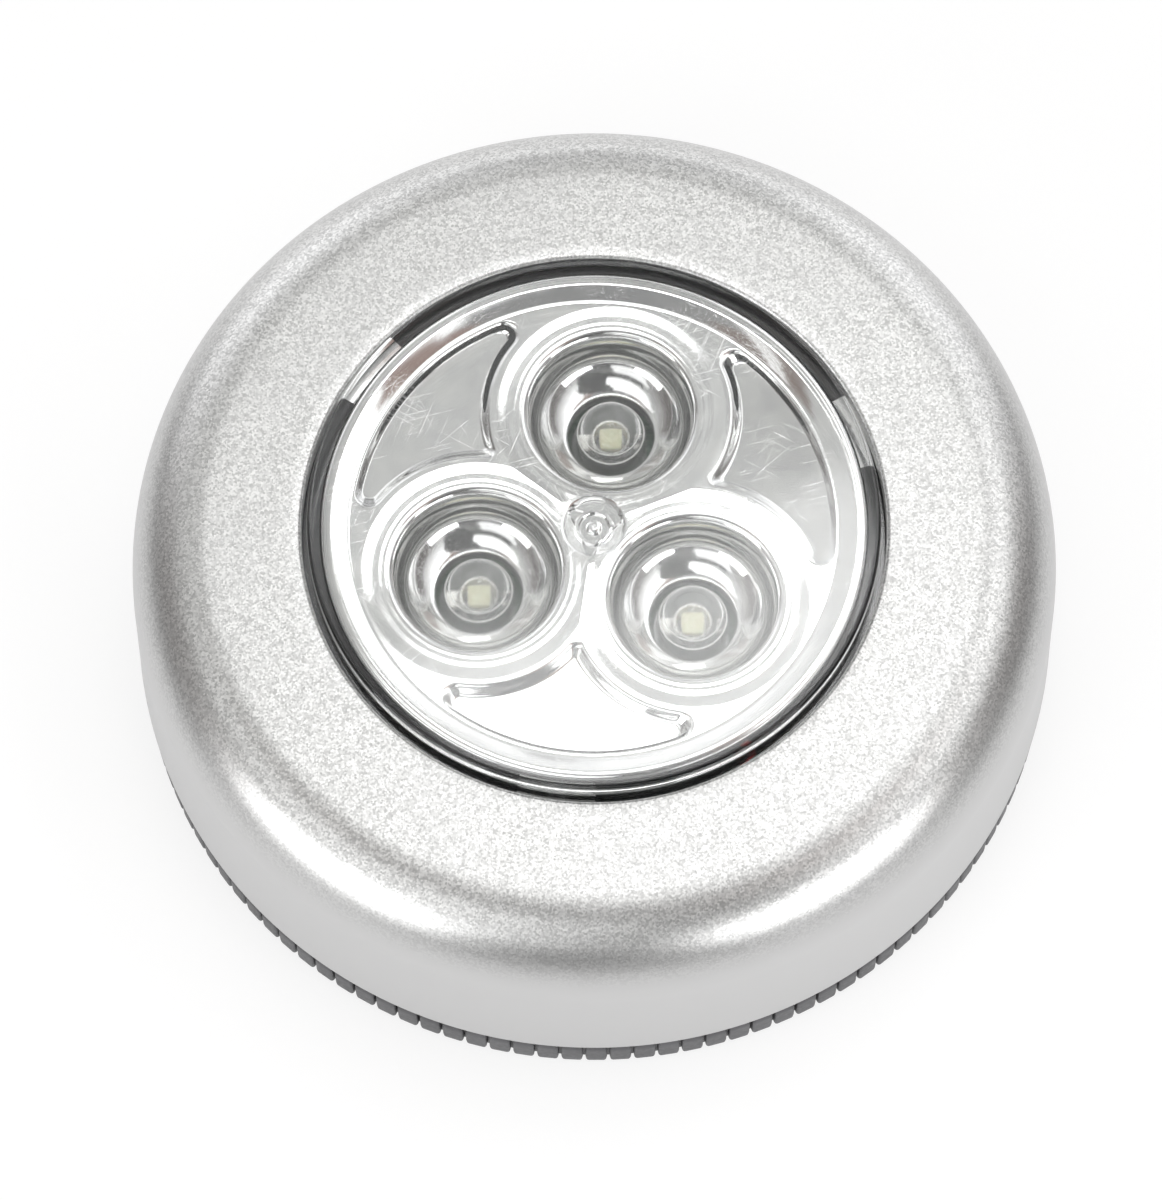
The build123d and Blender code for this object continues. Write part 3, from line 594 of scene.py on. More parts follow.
def painted_metal(name):
    """Silver paint with fine metal flakes on the panel, plain on the shoulder and the skirt."""
    made, places = new_material(name)
    smooth = between(split(places)["Z"], panel_z - 0.0002, shoulder_z + 0.002)
    grain = blended(smooth, noise(places, 6500.0, 3.0, 0.6), 0.5)
    flakes = blended(chances(voronoi(places, 7000.0)), (0.46, 0.46, 0.455), (0.885, 0.885, 0.875))
    peel = bumped(noise(places, 900.0), 0.00001, 0.5)
    return surfaced(made, {
        "Base Color": blended(patchy(noise(places, 120.0), 0.2).math("MAXIMUM", smooth), flakes, 0.645),
        "Metallic": 0.85, "Roughness": ranged(grain, 0.30, 0.42), "Normal": bumped(grain, 0.000012, 0.5, peel),
        "Coat Weight": 0.12, "Coat Roughness": 0.25,
    })


def moulded_plastic(name, colour, roughness, grain_scale=2500.0, variation=0.12):
    """Moulded plastic with a fine matt grain and slightly uneven colour."""
    made, places = new_material(name)
    grain = noise(places, grain_scale, 3.0, 0.6)
    darker, lighter = (tuple(min(1.0, part * share) for part in colour) for share in (1 - variation, 1 + variation))
    return surfaced(made, {
        "Base Color": blended(patchy(noise(places, 160.0, 3.0)), darker, lighter),
        "Roughness": ranged(grain, roughness - 0.07, roughness + 0.07), "Normal": bumped(grain, 0.00001, 0.35),
    })


def scratches(places, density, turns):
    """Thin straight scratch lines in several directions, 0 to 1."""
    lines = [noise(mapped(places, "TEXTURE", Rotation=(0, 0, radians(turn)), Scale=(110, 1, 1)), density, 1.0)
             for turn in turns]
    return extreme("MAXIMUM", [between(line, 0.71, 0.74) for line in lines]) * between(
        noise(places, 170.0, 1.0), 0.45, 0.6)


def mirror_plating(name):
    """Bright vacuum plating with hairline scratches, haze and dust, soft steps round the cups and leaning pockets."""
    made, places = new_material(name)
    marks = scratches(places, 16000.0, (15, 42, 68, 118, 151))
    haze = noise(places, 500.0, 3.0)
    rough = marks * 0.25 + ranged(haze, 0.03, 0.08)
    waves = bumped(noise(places, 260.0), 0.00003, 0.25)
    scored = bumped(marks, 0.000004, 0.5, bumped(voronoi(places, 2600.0), 0.000002, 0.3, waves))
    level = vector_math("MULTIPLY", places, (1, 1, 0))
    away = extreme("MINIMUM", [
        vector_math("DISTANCE", level, polar(cup_pitch, angle))["Value"] for angle in cup_angles
    ])
    outward = vector_math("LENGTH", level)["Value"]
    step_up = soft_step(away, *land_inner_step) * 0.2 + soft_step(away, *land_outer_step)
    landing = step_up * soft_step(outward, dish_radius, dish_radius + 0.0012)
    position = split(places)
    sunk = soft_step(away, *pocket_edge) * between(
        position["Z"], face_z - pocket_depth * 0.3, face_z - pocket_depth * 0.98)
    fall = (position["Y"] - pocket_lean_y).math("ABSOLUTE")
    lean = sunk * ((fall - pocket_lean_reach) * -pocket_lean - pocket_step)
    motes = voronoi(places, 1500.0)
    dust = between(between(chances(motes), 0.55, 1.0, 0.0, 0.05) - motes, 0.0, 0.012)
    plating = blended(patchy(haze), 0.84, (0.90, 0.90, 0.89))
    return surfaced(made, {
        "Base Color": blended(dust, plating, (0.85, 0.85, 0.84)), "Metallic": 1.0 - dust,
        "Roughness": rough.math("MAXIMUM", dust),
        "Normal": bumped(lean, 1.0, 1.0, bumped(landing, land_relief, 1.0, scored)),
    })


def clear_material(name, colour, ior, haze_scale, roughness, clearness):
    """Clear moulding that lets the lamps' light through to what it covers."""
    made, places = new_material(name)
    flow = noise(places, haze_scale)
    shader = add_node(places.tree, "ShaderNodeBsdfPrincipled", {
        "Base Color": colour, "Roughness": ranged(flow, roughness * 0.6, roughness), "IOR": ior,
        "Transmission Weight": clearness, "Normal": bumped(flow, 0.00001, 0.08),
    })
    passing = add_node(places.tree, "ShaderNodeBsdfTransparent", {"Color": colour})
    rays = add_node(places.tree, "ShaderNodeLightPath")
    return shown(made, mixed_shader(rays["Is Shadow Ray"], shader, passing))


def plated_metal(name, colour, roughness):
    """Drawn or pressed metal with fine streaks."""
    made, places = new_material(name)
    lines = noise(mapped(places, Scale=(1, 1, 6)), 2200.0, 3.0, 0.6)
    return surfaced(made, {
        "Base Color": blended(patchy(noise(places, 300.0)), tuple(part * 0.8 for part in colour), colour),
        "Metallic": 1.0, "Roughness": ranged(lines, roughness - 0.06, roughness + 0.1),
        "Normal": bumped(lines, 0.000006, 0.4),
    })


def phosphor_fill(name):
    """Pale yellow silicone over the chips, slightly grainy."""
    made, places = new_material(name)
    grain = noise(places, 9000.0, 3.0, 0.7)
    return surfaced(made, {
        "Base Color": blended(ranged(grain), (0.66, 0.64, 0.36), (0.80, 0.79, 0.56)),
        "Roughness": 0.35, "Subsurface Weight": 0.2, "Subsurface Scale": 0.0003,
        "Normal": bumped(grain, 0.000008, 0.4),
    })


def foam_material(name):
    """White closed-cell foam with fine pores."""
    made, places = new_material(name)
    pores = voronoi(places, 3200.0)
    return surfaced(made, {
        "Base Color": blended(between(pores, 0.1, 0.6), (0.60, 0.60, 0.58), (0.82, 0.82, 0.80)),
        "Roughness": ranged(noise(places, 140.0, 3.0), 0.75, 0.9), "Sheen Weight": 0.1,
        "Normal": bumped(pores, 0.00006, 0.7),
    })


def cell_wrap(name):
    """Printed film round a cell: a dark sleeve with a bright band at the positive end."""
    made, places = new_material(name)
    steel = (0.62, 0.62, 0.61)
    along = add_node(places.tree, "ShaderNodeAttribute", attribute_name="along")["Fac"]
    tip = between(along, 0.955, 0.957)
    foot = between(along, 0.012, 0.014)
    sleeve = blended(between(along, 0.70, 0.705), (0.02, 0.05, 0.12), (0.55, 0.36, 0.12))
    grain = noise(places, 1500.0, 3.0)
    return surfaced(made, {
        "Base Color": blended(foot, steel, blended(tip, sleeve, steel)),
        "Metallic": between(tip.math("MAXIMUM", 1.0 - foot), 0, 1, 0.35, 1.0),
        "Roughness": ranged(grain, 0.26, 0.38), "Normal": bumped(grain, 0.00001, 0.3),
    })


def board_finish(name):
    """Green solder mask with tracks under it."""
    made, places = new_material(name)
    tracks = add_node(places.tree, "ShaderNodeTexBrick", {
        "Vector": places, "Scale": 420.0, "Mortar Size": 0.06, "Mortar Smooth": 0.2,
    })["Fac"]
    grain = noise(places, 3000.0, 3.0)
    return surfaced(made, {
        "Base Color": blended(tracks, (0.045, 0.10, 0.055), (0.07, 0.145, 0.08)),
        "Roughness": ranged(grain, 0.28, 0.42),
        "Normal": bumped(tracks, 0.00003, 0.5, bumped(grain, 0.000008, 0.3)),
    })


silver_paint = painted_metal("silver_paint")
base_plastic = moulded_plastic("base_plastic", (0.085, 0.085, 0.09), 0.42)
tray_plastic = moulded_plastic("tray_plastic", (0.025, 0.025, 0.027), 0.5)
switch_plastic = moulded_plastic("switch_plastic", (0.03, 0.03, 0.032), 0.45)
plunger_plastic = moulded_plastic("plunger_plastic", (0.68, 0.67, 0.62), 0.4)
resistor_finish = moulded_plastic("resistor_body", (0.02, 0.02, 0.025), 0.35, 5000.0)
red_cover = moulded_plastic("red_insulation", (0.42, 0.012, 0.012), 0.4)
black_cover = moulded_plastic("black_insulation", (0.02, 0.02, 0.02), 0.4)
lens_plastic = clear_material("clear_plastic", (0.97, 0.975, 0.975), 1.49, 90.0, 0.11, 1.0)
led_clear = clear_material("led_epoxy", (0.93, 0.935, 0.92), 1.53, 300.0, 0.02, 0.86)
mirror = mirror_plating("metallised_plastic")
contact_metal = plated_metal("contact_steel", (0.66, 0.65, 0.62), 0.24)
screw_metal = plated_metal("screw_steel", (0.60, 0.60, 0.59), 0.28)
phosphor = phosphor_fill("phosphor")
foam = foam_material("foam_tape")
cell_finish = cell_wrap("cell_can")
board_mask = board_finish("board_laminate")
# Opaque near-white plastic for the rings that paint highlights on the LED domes
painted_led_glint = moulded_plastic("painted_led_glint", (0.90, 0.91, 0.88), 0.22, 6000.0, 0.03)

knurl_rib = rib_tree()
coil_spring = coil_tree()
ring_copies = ring_tree()

# CAD nodes whose shape stays get their finish
for node_name, finish in {
    "battery_tray": tray_plastic, "bridge_contacts": contact_metal, "positive_terminal": contact_metal,
    "negative_terminal": contact_metal, "led_board": board_mask, "resistors": resistor_finish,
    "switch_case": switch_plastic, "switch_plunger": plunger_plastic, "switch_pins": contact_metal,
}.items():
    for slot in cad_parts[node_name].material_slots:
        slot.material = finish


def make_housing():
    """Turned shell of the housing, and the collar, keys, bosses and catches inside it."""
    slant = skirt_draft / (shoulder_z - foot_z)
    inside_shoulder = (shoulder_width - skirt_wall, shoulder_drop - panel_wall)
    shell = bmesh.new()
    turn_outline(shell, [
        (opening_radius, panel_z - panel_wall),
        *arc((opening_radius + edge_round, panel_z - edge_round), edge_round, pi, quarter_turn, 6),
        (opening_radius + 0.0012, panel_z), (panel_radius - 0.0015, panel_z),
        *arc((panel_radius, shoulder_z), (shoulder_width, shoulder_drop), quarter_turn, 0, 32),
        (foot_radius - slant * edge_round * 2, foot_z + edge_round * 2),
        *arc((foot_radius - edge_round, foot_z + edge_round), edge_round, 0, -quarter_turn, 6),
        (foot_radius - skirt_wall, foot_z),
        *arc((panel_radius, shoulder_z), inside_shoulder, 0, quarter_turn, 20),
    ])
    finished("housing_shell", shell, "housing", silver_paint, "top_housing")

    inside = bmesh.new()
    collar_outer = collar_inner + collar_wall
    collar_top = panel_z - panel_wall
    slot_top = tray_high.z + wire_slot_height
    third = cup_angles[2]
    for middle, half_angle, steps in (
        (third, wire_slot_angle - wire_slot_half_angle, 16),
        (third + pi, pi - wire_slot_angle - wire_slot_half_angle, 160),
    ):
        add_block(inside, collar_inner, collar_outer, middle, half_angle, tray_high.z, slot_top, steps)
    turn_outline(inside, [
        (collar_inner, slot_top), (collar_outer, slot_top), (collar_outer, collar_top), (collar_inner, collar_top),
    ])
    for angle in cell_angles:
        add_box(
            inside, (collar_inner - key_depth, -key_width / 2, tray_high.z),
            (collar_inner + collar_wall / 2, key_width / 2, collar_top), Matrix.Rotation(angle, 4, "Z"),
        )
        middle = angle + hook_angle
        add_block(inside, catch_inner, catch_outer, middle, hook_half_angle, catch_z, catch_z + catch_thickness)
        add_block(
            inside, catch_inner, catch_outer, middle + hook_half_angle + stop_angle / 2, stop_angle / 2,
            catch_z, hook_top_z, 4,
        )
        add_boss(inside, tray_high.z, boss_top_z, polar(screw_place, angle + screw_angle))
    finished("housing_fittings", inside, "housing", silver_paint, "top_housing")


def make_base():
    """Base cover with its pad recess, rim and hooks, and the ribs round it."""
    valley = base_high.x - knurl_depth
    neck_z = foot_z - neck_height
    shell = bmesh.new()
    turn_outline(shell, [
        (0, pad_recess_z), (pad_recess_radius, pad_recess_z), (pad_recess_radius, base_low.z + 0.0001),
        (pad_recess_radius + 0.0001, base_low.z), (valley - base_fillet - 0.0002, base_low.z),
        *arc((valley - base_fillet, base_low.z + base_fillet), base_fillet, -quarter_turn, 0, 5),
        (valley, neck_z), (neck_radius, neck_z), (neck_radius, foot_z), (rim_inner_radius, foot_z),
        *arc((rim_inner_radius - floor_fillet, base_floor_z + floor_fillet), floor_fillet, 0, -quarter_turn, 5),
        (0, base_floor_z),
    ], closed=False)
    for angle in cell_angles:
        for outer, bottom in ((hook_stem_outer, base_floor_z - root), (hook_radius, hook_top_z - hook_thickness)):
            add_block(
                shell, hook_stem_outer - hook_wall, outer, angle + hook_angle, hook_half_angle, bottom, hook_top_z,
            )
    finished("base_shell", shell, "base", base_plastic, "base_cover")
    rib = grown(knurl_rib, {
        "Width": 2 * pi * base_high.x / knurl_count - knurl_gap, "Depth": knurl_depth, "Edge Round": knurl_round,
        "Bottom": base_low.z, "Height": neck_z - base_low.z, "End Round": knurl_end_round,
        "Material": base_plastic,
    })
    rib.transform(Matrix.Rotation(quarter_turn, 4, "Z"))
    ribs = ring_of(rib, valley, 0, 0, base_plastic, knurl_count)
    finished("base_ribs", ribs, "base", base_plastic, "base_cover", crease=40)


def make_pad():
    """Foam pad with a slightly bulged edge."""
    radius = pad_high.x
    thickness = pad_high.z - pad_low.z
    middle = (pad_low.z + pad_high.z) / 2
    disc = bmesh.new()
    turn_outline(disc, [
        (0, pad_low.z), (radius * 0.5, pad_low.z), (radius - 0.0004, pad_low.z),
        *arc((radius - 0.0003, middle), (0.0003, thickness / 2), -quarter_turn, quarter_turn, 10)[1:-1],
        (radius - 0.0004, pad_high.z), (radius * 0.5, pad_high.z), (0, pad_high.z),
    ], closed=False)
    pad = finished("foam_pad", disc, "base", foam, "adhesive_pad")


def make_lens():
    """Clear cap with rounded edges and a notched flange."""
    half_notch = flange_notch_width / 2 / lens_high.x
    stations = []
    for angle in cell_angles:
        low, high = angle - half_notch, angle + half_notch
        stations += [(low, False)]
        stations += [(mixed_value(low, high, share), True) for share in (0, 0.25, 0.5, 0.75, 1)]
        stations += [(high, False)]
        stations += [(angle + 2 * pi * step / turn_steps, False) for step in range(2, turn_steps // copies - 1)]

    def widen(radius, height, place):
        return min(radius, lens_high.x - flange_notch) if stations[place][1] else radius

    inner = lens_radius - lens_side_wall
    under = lens_high.z - lens_top_wall
    flange_top = lens_low.z + flange_height
    chamfer = 0.00015
    cap = bmesh.new()
    turn_outline(cap, [
        (0, under), (inner * 0.5, under),
        *arc((inner - lens_fillet, under - lens_fillet), lens_fillet, quarter_turn, 0, 12),
        (inner, lens_low.z), (lens_high.x - chamfer, lens_low.z), (lens_high.x, lens_low.z + chamfer),
        (lens_high.x, flange_top - chamfer), (lens_high.x - chamfer, flange_top), (lens_radius, flange_top),
        (lens_radius, lens_high.z - lens_round * 2),
        *arc((lens_radius - lens_round, lens_high.z - lens_round), lens_round, 0, quarter_turn, 8),
        (inner * 0.5, lens_high.z), (0, lens_high.z),
    ], [turn for turn, _ in stations], widen, closed=False)
    finished("lens", cap, "light_module", lens_plastic, "lens_cap")


def fill_between(shape, loops):
    """Fills the flat area inside the first loop and outside the others."""
    edges = []
    for loop in loops:
        for first, second in zip(loop, loop[1:] + loop[:1]):
            edges.append(shape.edges.get((first, second)) or shape.edges.new((first, second)))
    bmesh.ops.triangle_fill(shape, use_beauty=True, edges=edges)


def heading(direction):
    """Angle of a vector seen from above."""
    return atan2(direction.y, direction.x)


def pocket_outline(first_angle, outer, land, tip, corner):
    """Outline of a crescent pocket between two cups, with rounded tips and inner corner."""
    cups = [polar(cup_pitch, first_angle), polar(cup_pitch, first_angle + third_turn)]
    reach = outer - tip
    swing = acos((reach ** 2 + cup_pitch ** 2 - (land + tip) ** 2) / (2 * reach * cup_pitch))
    tips = [polar(reach, first_angle + swing), polar(reach, first_angle + third_turn - swing)]
    inner = polar(cup_pitch / 2 + sqrt((land + corner) ** 2 - 0.75 * cup_pitch ** 2), first_angle + sixth_turn)
    points = []
    for centre, radius, first, last, steps in (
        (Vector(), outer, tips[0], tips[1], 72), (tips[1], tip, tips[1] * 2, cups[1], 10),
        (cups[1], land, tips[1], inner, 36), (inner, corner, cups[1], cups[0], 10),
        (cups[0], land, inner, tips[0], 36), (tips[0], tip, cups[0], tips[0] * 2, 10),
    ):
        start = heading(first - centre)
        turn = (heading(last - centre) - start + pi) % (2 * pi) - pi
        points += [centre + polar(radius, start + turn * step / steps) for step in range(steps)]
    return points


def bezier_points(controls, steps):
    """Points on a cubic curve, without the last."""
    points = []
    for step in range(steps):
        share = step / steps
        weights = ((1 - share) ** 3, 3 * share * (1 - share) ** 2, 3 * share ** 2 * (1 - share), share ** 3)
        points.append(tuple(sum(
            (weight * control for weight, control in zip(weights, controls)), Vector((0, 0)))))
    return points


def eased(value):
    """Smooth step from 0 to 1."""
    return value * value * (3 - 2 * value)


def cup_section():
    """Outline of a cup from its lip down to the LED's hole and back up its outside."""
    lip = [Vector((cup_radius + reach, face_z - drop)) for reach, drop in cup_lip]
    joint = Vector((cup_radius * cos(cup_lip_end), face_z - cup_depth * sin(cup_lip_end)))
    pull = (joint - lip[2]).length / 3
    leaving = lip[2] + (lip[2] - lip[1]).normalized() * pull
    arriving = joint + Vector((cup_radius * sin(cup_lip_end), cup_depth * cos(cup_lip_end))).normalized() * pull
    points = bezier_points([lip[0], lip[0].lerp(lip[1], 2 / 3), lip[2].lerp(lip[1], 2 / 3), lip[2]], 9)
    points += bezier_points([lip[2], leaving, arriving, joint], 12)
    hole_turn = acos(cup_hole_radius / cup_radius)
    points += arc((0, face_z), (cup_radius, -cup_depth), cup_lip_end, hole_turn, 12)
    points[-1] = (cup_hole_radius + 0.0001, points[-1][1] + 0.00008)
    points += [(cup_hole_radius + 0.00003, dome_z - 0.00003), (cup_hole_radius, dome_z - 0.00012)]
    points += [(cup_hole_radius, cup_bottom_z)]
    body_depth = cup_depth + reflector_wall
    low_turn = asin((face_z - cup_bottom_z) / body_depth)
    high_turn = asin(reflector_plate / body_depth)
    return points + arc((0, face_z), (cup_radius + reflector_wall, -body_depth), low_turn, high_turn, 12)


def make_reflector():
    """Plated reflector: sloping rim, rounded cups, soft-edged crescent pockets, dish, bosses and tabs."""
    shape = bmesh.new()
    slope = rim_rise / (rim_top_radius - rim_foot_radius)
    plate_z = face_z - reflector_plate
    rim_loops = turn_outline(shape, [
        *[(rim_foot_radius + rim_blend * share, face_z + slope * rim_blend / 2 * share ** 2)
          for share in (0, 0.25, 0.5, 0.75, 1)],
        (rim_top_radius - 0.00006, reflector_high.z - slope * 0.00006), (rim_top_radius, reflector_high.z - 0.00001),
        (reflector_radius - 0.00006, reflector_high.z), (reflector_radius, reflector_high.z - 0.00006),
        (reflector_radius, tab_bottom_z), (reflector_radius - reflector_wall, tab_bottom_z),
        (reflector_radius - reflector_wall, plate_z),
    ], closed=False)
    cup_loops = [
        turn_outline(shape, cup_section(), whole_turn(120), closed=False, centre=polar(cup_pitch, angle))
        for angle in cup_angles
    ]
    dish_floor = face_z - dish_depth
    dish_loops = turn_outline(shape, [(radius, dish_floor + rise) for radius, rise in (
        (dish_radius + 0.00012, dish_depth), (dish_radius + 0.00003, dish_depth - 0.00003),
        (dish_radius, dish_depth - 0.00012), (dish_radius - 0.0001, 0.0001), (dish_radius - 0.0002, 0),
        *dish_rings,
    )], whole_turn(72), closed=False)
    shape.faces.new(dish_loops[-1])

    pocket_tops = []
    for angle in cup_angles:
        loops = []
        for step in range(pocket_steps + 1):
            share = step / pocket_steps
            outline = pocket_outline(
                angle, pocket_radius - pocket_outer_wall * share,
                mixed_value(pocket_top_radius, pocket_foot_radius, share),
                mixed_value(*pocket_tip_radii, share), mixed_value(*pocket_corner_radii, share),
            )
            height = face_z - pocket_depth * eased(share)
            loops.append([shape.verts.new((point.x, point.y, height)) for point in outline])
        join_loops(shape, loops)
        fill_between(shape, [loops[-1]])
        pocket_tops.append(loops[0])

    fill_between(shape, [rim_loops[0], *(loops[0] for loops in cup_loops), dish_loops[0], *pocket_tops])
    fill_between(shape, [rim_loops[-1], *(loops[-1] for loops in cup_loops)])
    tab_inner = reflector_radius - reflector_wall / 2
    for angle in cell_angles:
        add_block(shape, tab_inner, tab_radius, angle, tab_half_angle, tab_bottom_z, tab_top_z)
        add_boss(shape, board_high.z, plate_z + root, polar(board_screw_place, angle))
    plate = finished("reflector_plate", shape, "light_module", mirror, "reflector", crease=50)
    for face in plate.data.polygons:
        face.use_smooth = abs(face.normal.z) < 0.999999


def make_leds():
    """Clear LED bodies with a flat on the flange and two fine white rings that paint the dome's edge highlights,
    their lead frames and their chips.
    """
    angles = whole_turn(96)
    flange_top = led_low.z + led_flange_height
    chamfer = 0.0001

    def widen(radius, height, place):
        across = cos(angles[place])
        return min(radius, led_flat / across) if across > 0 and radius > led_radius else radius

    outline = [
        (0, led_low.z), (led_flange_radius - chamfer, led_low.z), (led_flange_radius, led_low.z + chamfer),
        (led_flange_radius, flange_top - chamfer), (led_flange_radius - chamfer, flange_top),
        (led_radius + 0.00012, flange_top), (led_radius, flange_top + 0.00015),
        *arc((0, dome_z), led_radius, 0, quarter_turn, 20)[:-1], (0, led_high.z),
    ]
    for letter, angle in zip("abc", cup_angles):
        centre = polar(cup_pitch, angle)
        body, glint_beads = bmesh.new(), bmesh.new()
        turn_outline(body, outline, angles, widen, False, centre)
        finished("led_body_" + letter, body, "light_module", led_clear, "led_" + letter)
        # White beads round the dome paint its bright edge reflections
        for rise, thickness in painted_glint_rings:
            reach = sqrt(led_radius ** 2 - rise ** 2)
            glint_section = arc((reach - 0.3 * thickness, dome_z + rise), thickness, 0, 2 * pi, 10)[:-1]
            turn_outline(glint_beads, glint_section, angles, centre=centre)
        finished("led_rings_" + letter, glint_beads, "light_module", painted_led_glint, "led_" + letter)

    half = lead_width / 2
    anvil_z = chip_low.z - 0.0009
    frame_form = bmesh.new()
    for low, high in (
        ((-lead_pitch / 2 - half, -half, lead_low.z), (-lead_pitch / 2 + half, half, anvil_z)),
        ((lead_pitch / 2 - half, -half, lead_low.z), (lead_pitch / 2 + half, half, chip_low.z)),
        ((-0.00152, -0.0004, anvil_z), (0.0005, 0.0004, chip_low.z - 0.0001)),
        ((0.00095, -0.00035, chip_low.z - 0.0006), (0.0015, 0.00035, chip_low.z)),
    ):
        add_box(frame_form, low, high)
    bmesh.ops.bevel(frame_form, geom=list(frame_form.edges), offset=0.00006, segments=2, affect="EDGES")
    ring = whole_turn(48)
    turn_outline(frame_form, [
        (0, chip_low.z - 0.0006), (0.0006, chip_low.z - 0.0006), (0.00075, chip_low.z - 0.0004),
        (0.00086, chip_high.z - 0.00003), (0.00083, chip_high.z), (0.00076, chip_high.z),
        (0.00055, chip_low.z - 0.0001), (0, chip_low.z - 0.0001),
    ], ring, closed=False)
    leads = ring_of(as_mesh(frame_form), cup_pitch, first_cup, 0, contact_metal, turned=0.0)
    finished("lead_frames", leads, "light_module", contact_metal, "led_leads")

    def squared(radius, height, place):
        square = 1 / max(abs(cos(ring[place])), abs(sin(ring[place])))
        return radius * (1 + 0.75 * (square - 1))

    chip = bmesh.new()
    turn_outline(chip, [
        (0, chip_low.z - 0.00005), (0.00048, chip_low.z - 0.00005), (0.0005, chip_high.z - 0.00006),
        (0.00046, chip_high.z - 0.00002), (0.00028, chip_high.z + 0.00002), (0, chip_high.z + 0.00003),
    ], ring, squared, closed=False)
    chips = ring_of(as_mesh(chip), cup_pitch, first_cup, 0, phosphor, turned=0.0)
    finished("phosphor_fills", chips, "light_module", phosphor, "led_chips")


def make_cells():
    """Cells with a sleeve, rolled ends, a raised nub and a recessed foot."""
    half = cell_length / 2
    body_end = half - cell_nub_length
    outline = [
        (0, -half + 0.0001), (0.0032, -half + 0.0001), (0.0035, -half), (0.0046, -half),
        (cell_radius - 0.0002, -half + 0.0001), (cell_radius - 0.00008, -half + 0.0004),
        (cell_radius - 0.00008, -half + 0.0009), (cell_radius, -half + 0.00095),
        (cell_radius, body_end - 0.0009), (cell_radius - 0.00008, body_end - 0.00085),
        (cell_radius - 0.0001, body_end - 0.0004), (cell_radius - 0.0004, body_end),
        (0.0042, body_end), (0.0040, body_end - 0.0002), (0.0031, body_end - 0.0002), (0.0029, body_end),
        (cell_nub_radius + 0.0001, body_end), (cell_nub_radius, body_end + 0.0001),
        (cell_nub_radius, half - 0.0002), (cell_nub_radius - 0.0002, half), (0, half),
    ]
    for letter, angle in zip("abc", cell_angles):
        body = bmesh.new()
        turn_outline(body, outline, whole_turn(96), closed=False)
        mesh = as_mesh(body)
        along = mesh.attributes.new("along", "FLOAT", "POINT")
        for vertex in mesh.vertices:
            along.data[vertex.index].value = (vertex.co.z + half) / cell_length
        facing = polar(1, angle + quarter_turn).to_track_quat("Z", "X").to_matrix().to_4x4()
        mesh.transform(Matrix.Translation(polar(cell_distance, angle, cell_z)) @ facing)
        finished("cell_body_" + letter, mesh, "housing", cell_finish, "cell_" + letter)


def make_springs():
    """Coil springs at the cells and the spring in the switch."""
    coil = grown(coil_spring, {
        "Turns": 2.5, "Coil Radius": 0.0024, "Wire Radius": 0.0002, "Height": spring_room - 2 * contact_gap,
        "Material": contact_metal,
    })
    seat = Matrix.Translation((0, -cell_length / 2 - spring_room + contact_gap, 0))
    coil.transform(seat @ Matrix.Rotation(-quarter_turn, 4, "X"))
    springs = ring_of(coil, cell_distance, cell_angles[0], cell_z, contact_metal)
    finished("cell_springs", springs, "housing", contact_metal, "contact_springs")

    coil = grown(coil_spring, {
        "Turns": 4.0, "Coil Radius": 0.0016, "Wire Radius": 0.00013, "Height": spring_high.z - spring_low.z,
        "Material": contact_metal,
    })
    coil.transform(Matrix.Translation((0, 0, spring_low.z)))
    spring = finished("push_spring", coil, None, contact_metal, "switch_spring", crease=None)
    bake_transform(spring)


def screw_mesh():
    """Pan-head screw that points up, with a wound thread, seated at the origin."""
    head_radius, head_height, length = 0.0016, 0.001, 0.0042
    core, crest, pitch, taper_length = 0.0006, 0.0008, 0.0006, 0.0008
    ring = whole_turn(24)
    screw = bmesh.new()
    turn_outline(screw, [
        (0, 0), (head_radius - 0.0001, 0), (head_radius, -0.0001),
        *arc((0, -head_height * 0.55), (head_radius, head_height * 0.45), 0, -quarter_turn, 5)[:-1],
        (0, -head_height),
    ], ring, closed=False)
    rows = int(length / pitch * 8)
    levels = []
    for row in range(rows + 1):
        height = length * row / rows
        taper = 0.35 + 0.65 * min(1, (length - height) / taper_length)
        level = []
        for step, angle in enumerate(ring):
            phase = (height / pitch - step / len(ring)) % 1
            reach = (core + (crest - core) * (1 - abs(2 * phase - 1))) * taper
            level.append(screw.verts.new(polar(reach, angle, height)))
        levels.append(level)
    join_loops(screw, levels)
    screw.faces.new(list(reversed(levels[0])))
    screw.faces.new(levels[-1])
    return as_mesh(screw)


def make_screws():
    """Three screws under the tray and three under the board."""
    for name, body, place, start, height, node in (
        ("tray_fasteners", "housing", screw_place, cell_angles[0] + screw_angle, tray_high.z - 0.0012, "tray_screws"),
        ("board_fasteners", "light_module", board_screw_place, cell_angles[0], board_low.z, "board_screws"),
    ):
        screws = ring_of(screw_mesh(), place, start, height, screw_metal)
        finished(name, screws, body, screw_metal, node, crease=50)


def make_leads():
    """Two insulated leads from the end contacts to the board."""
    third = cup_angles[2]
    for colour, finish, side in (("red", red_cover, -1), ("black", black_cover, 1)):
        shape = bmesh.new()
        shape.from_mesh(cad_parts["wire_" + colour].data)
        lead = finished("lead_" + colour, shape, None, finish, "wire_" + colour, crease=50)
        edge, end = (polar(radius, third + side * turn, height) for radius, turn, height in (lead_start, lead_end))
        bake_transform(lead)


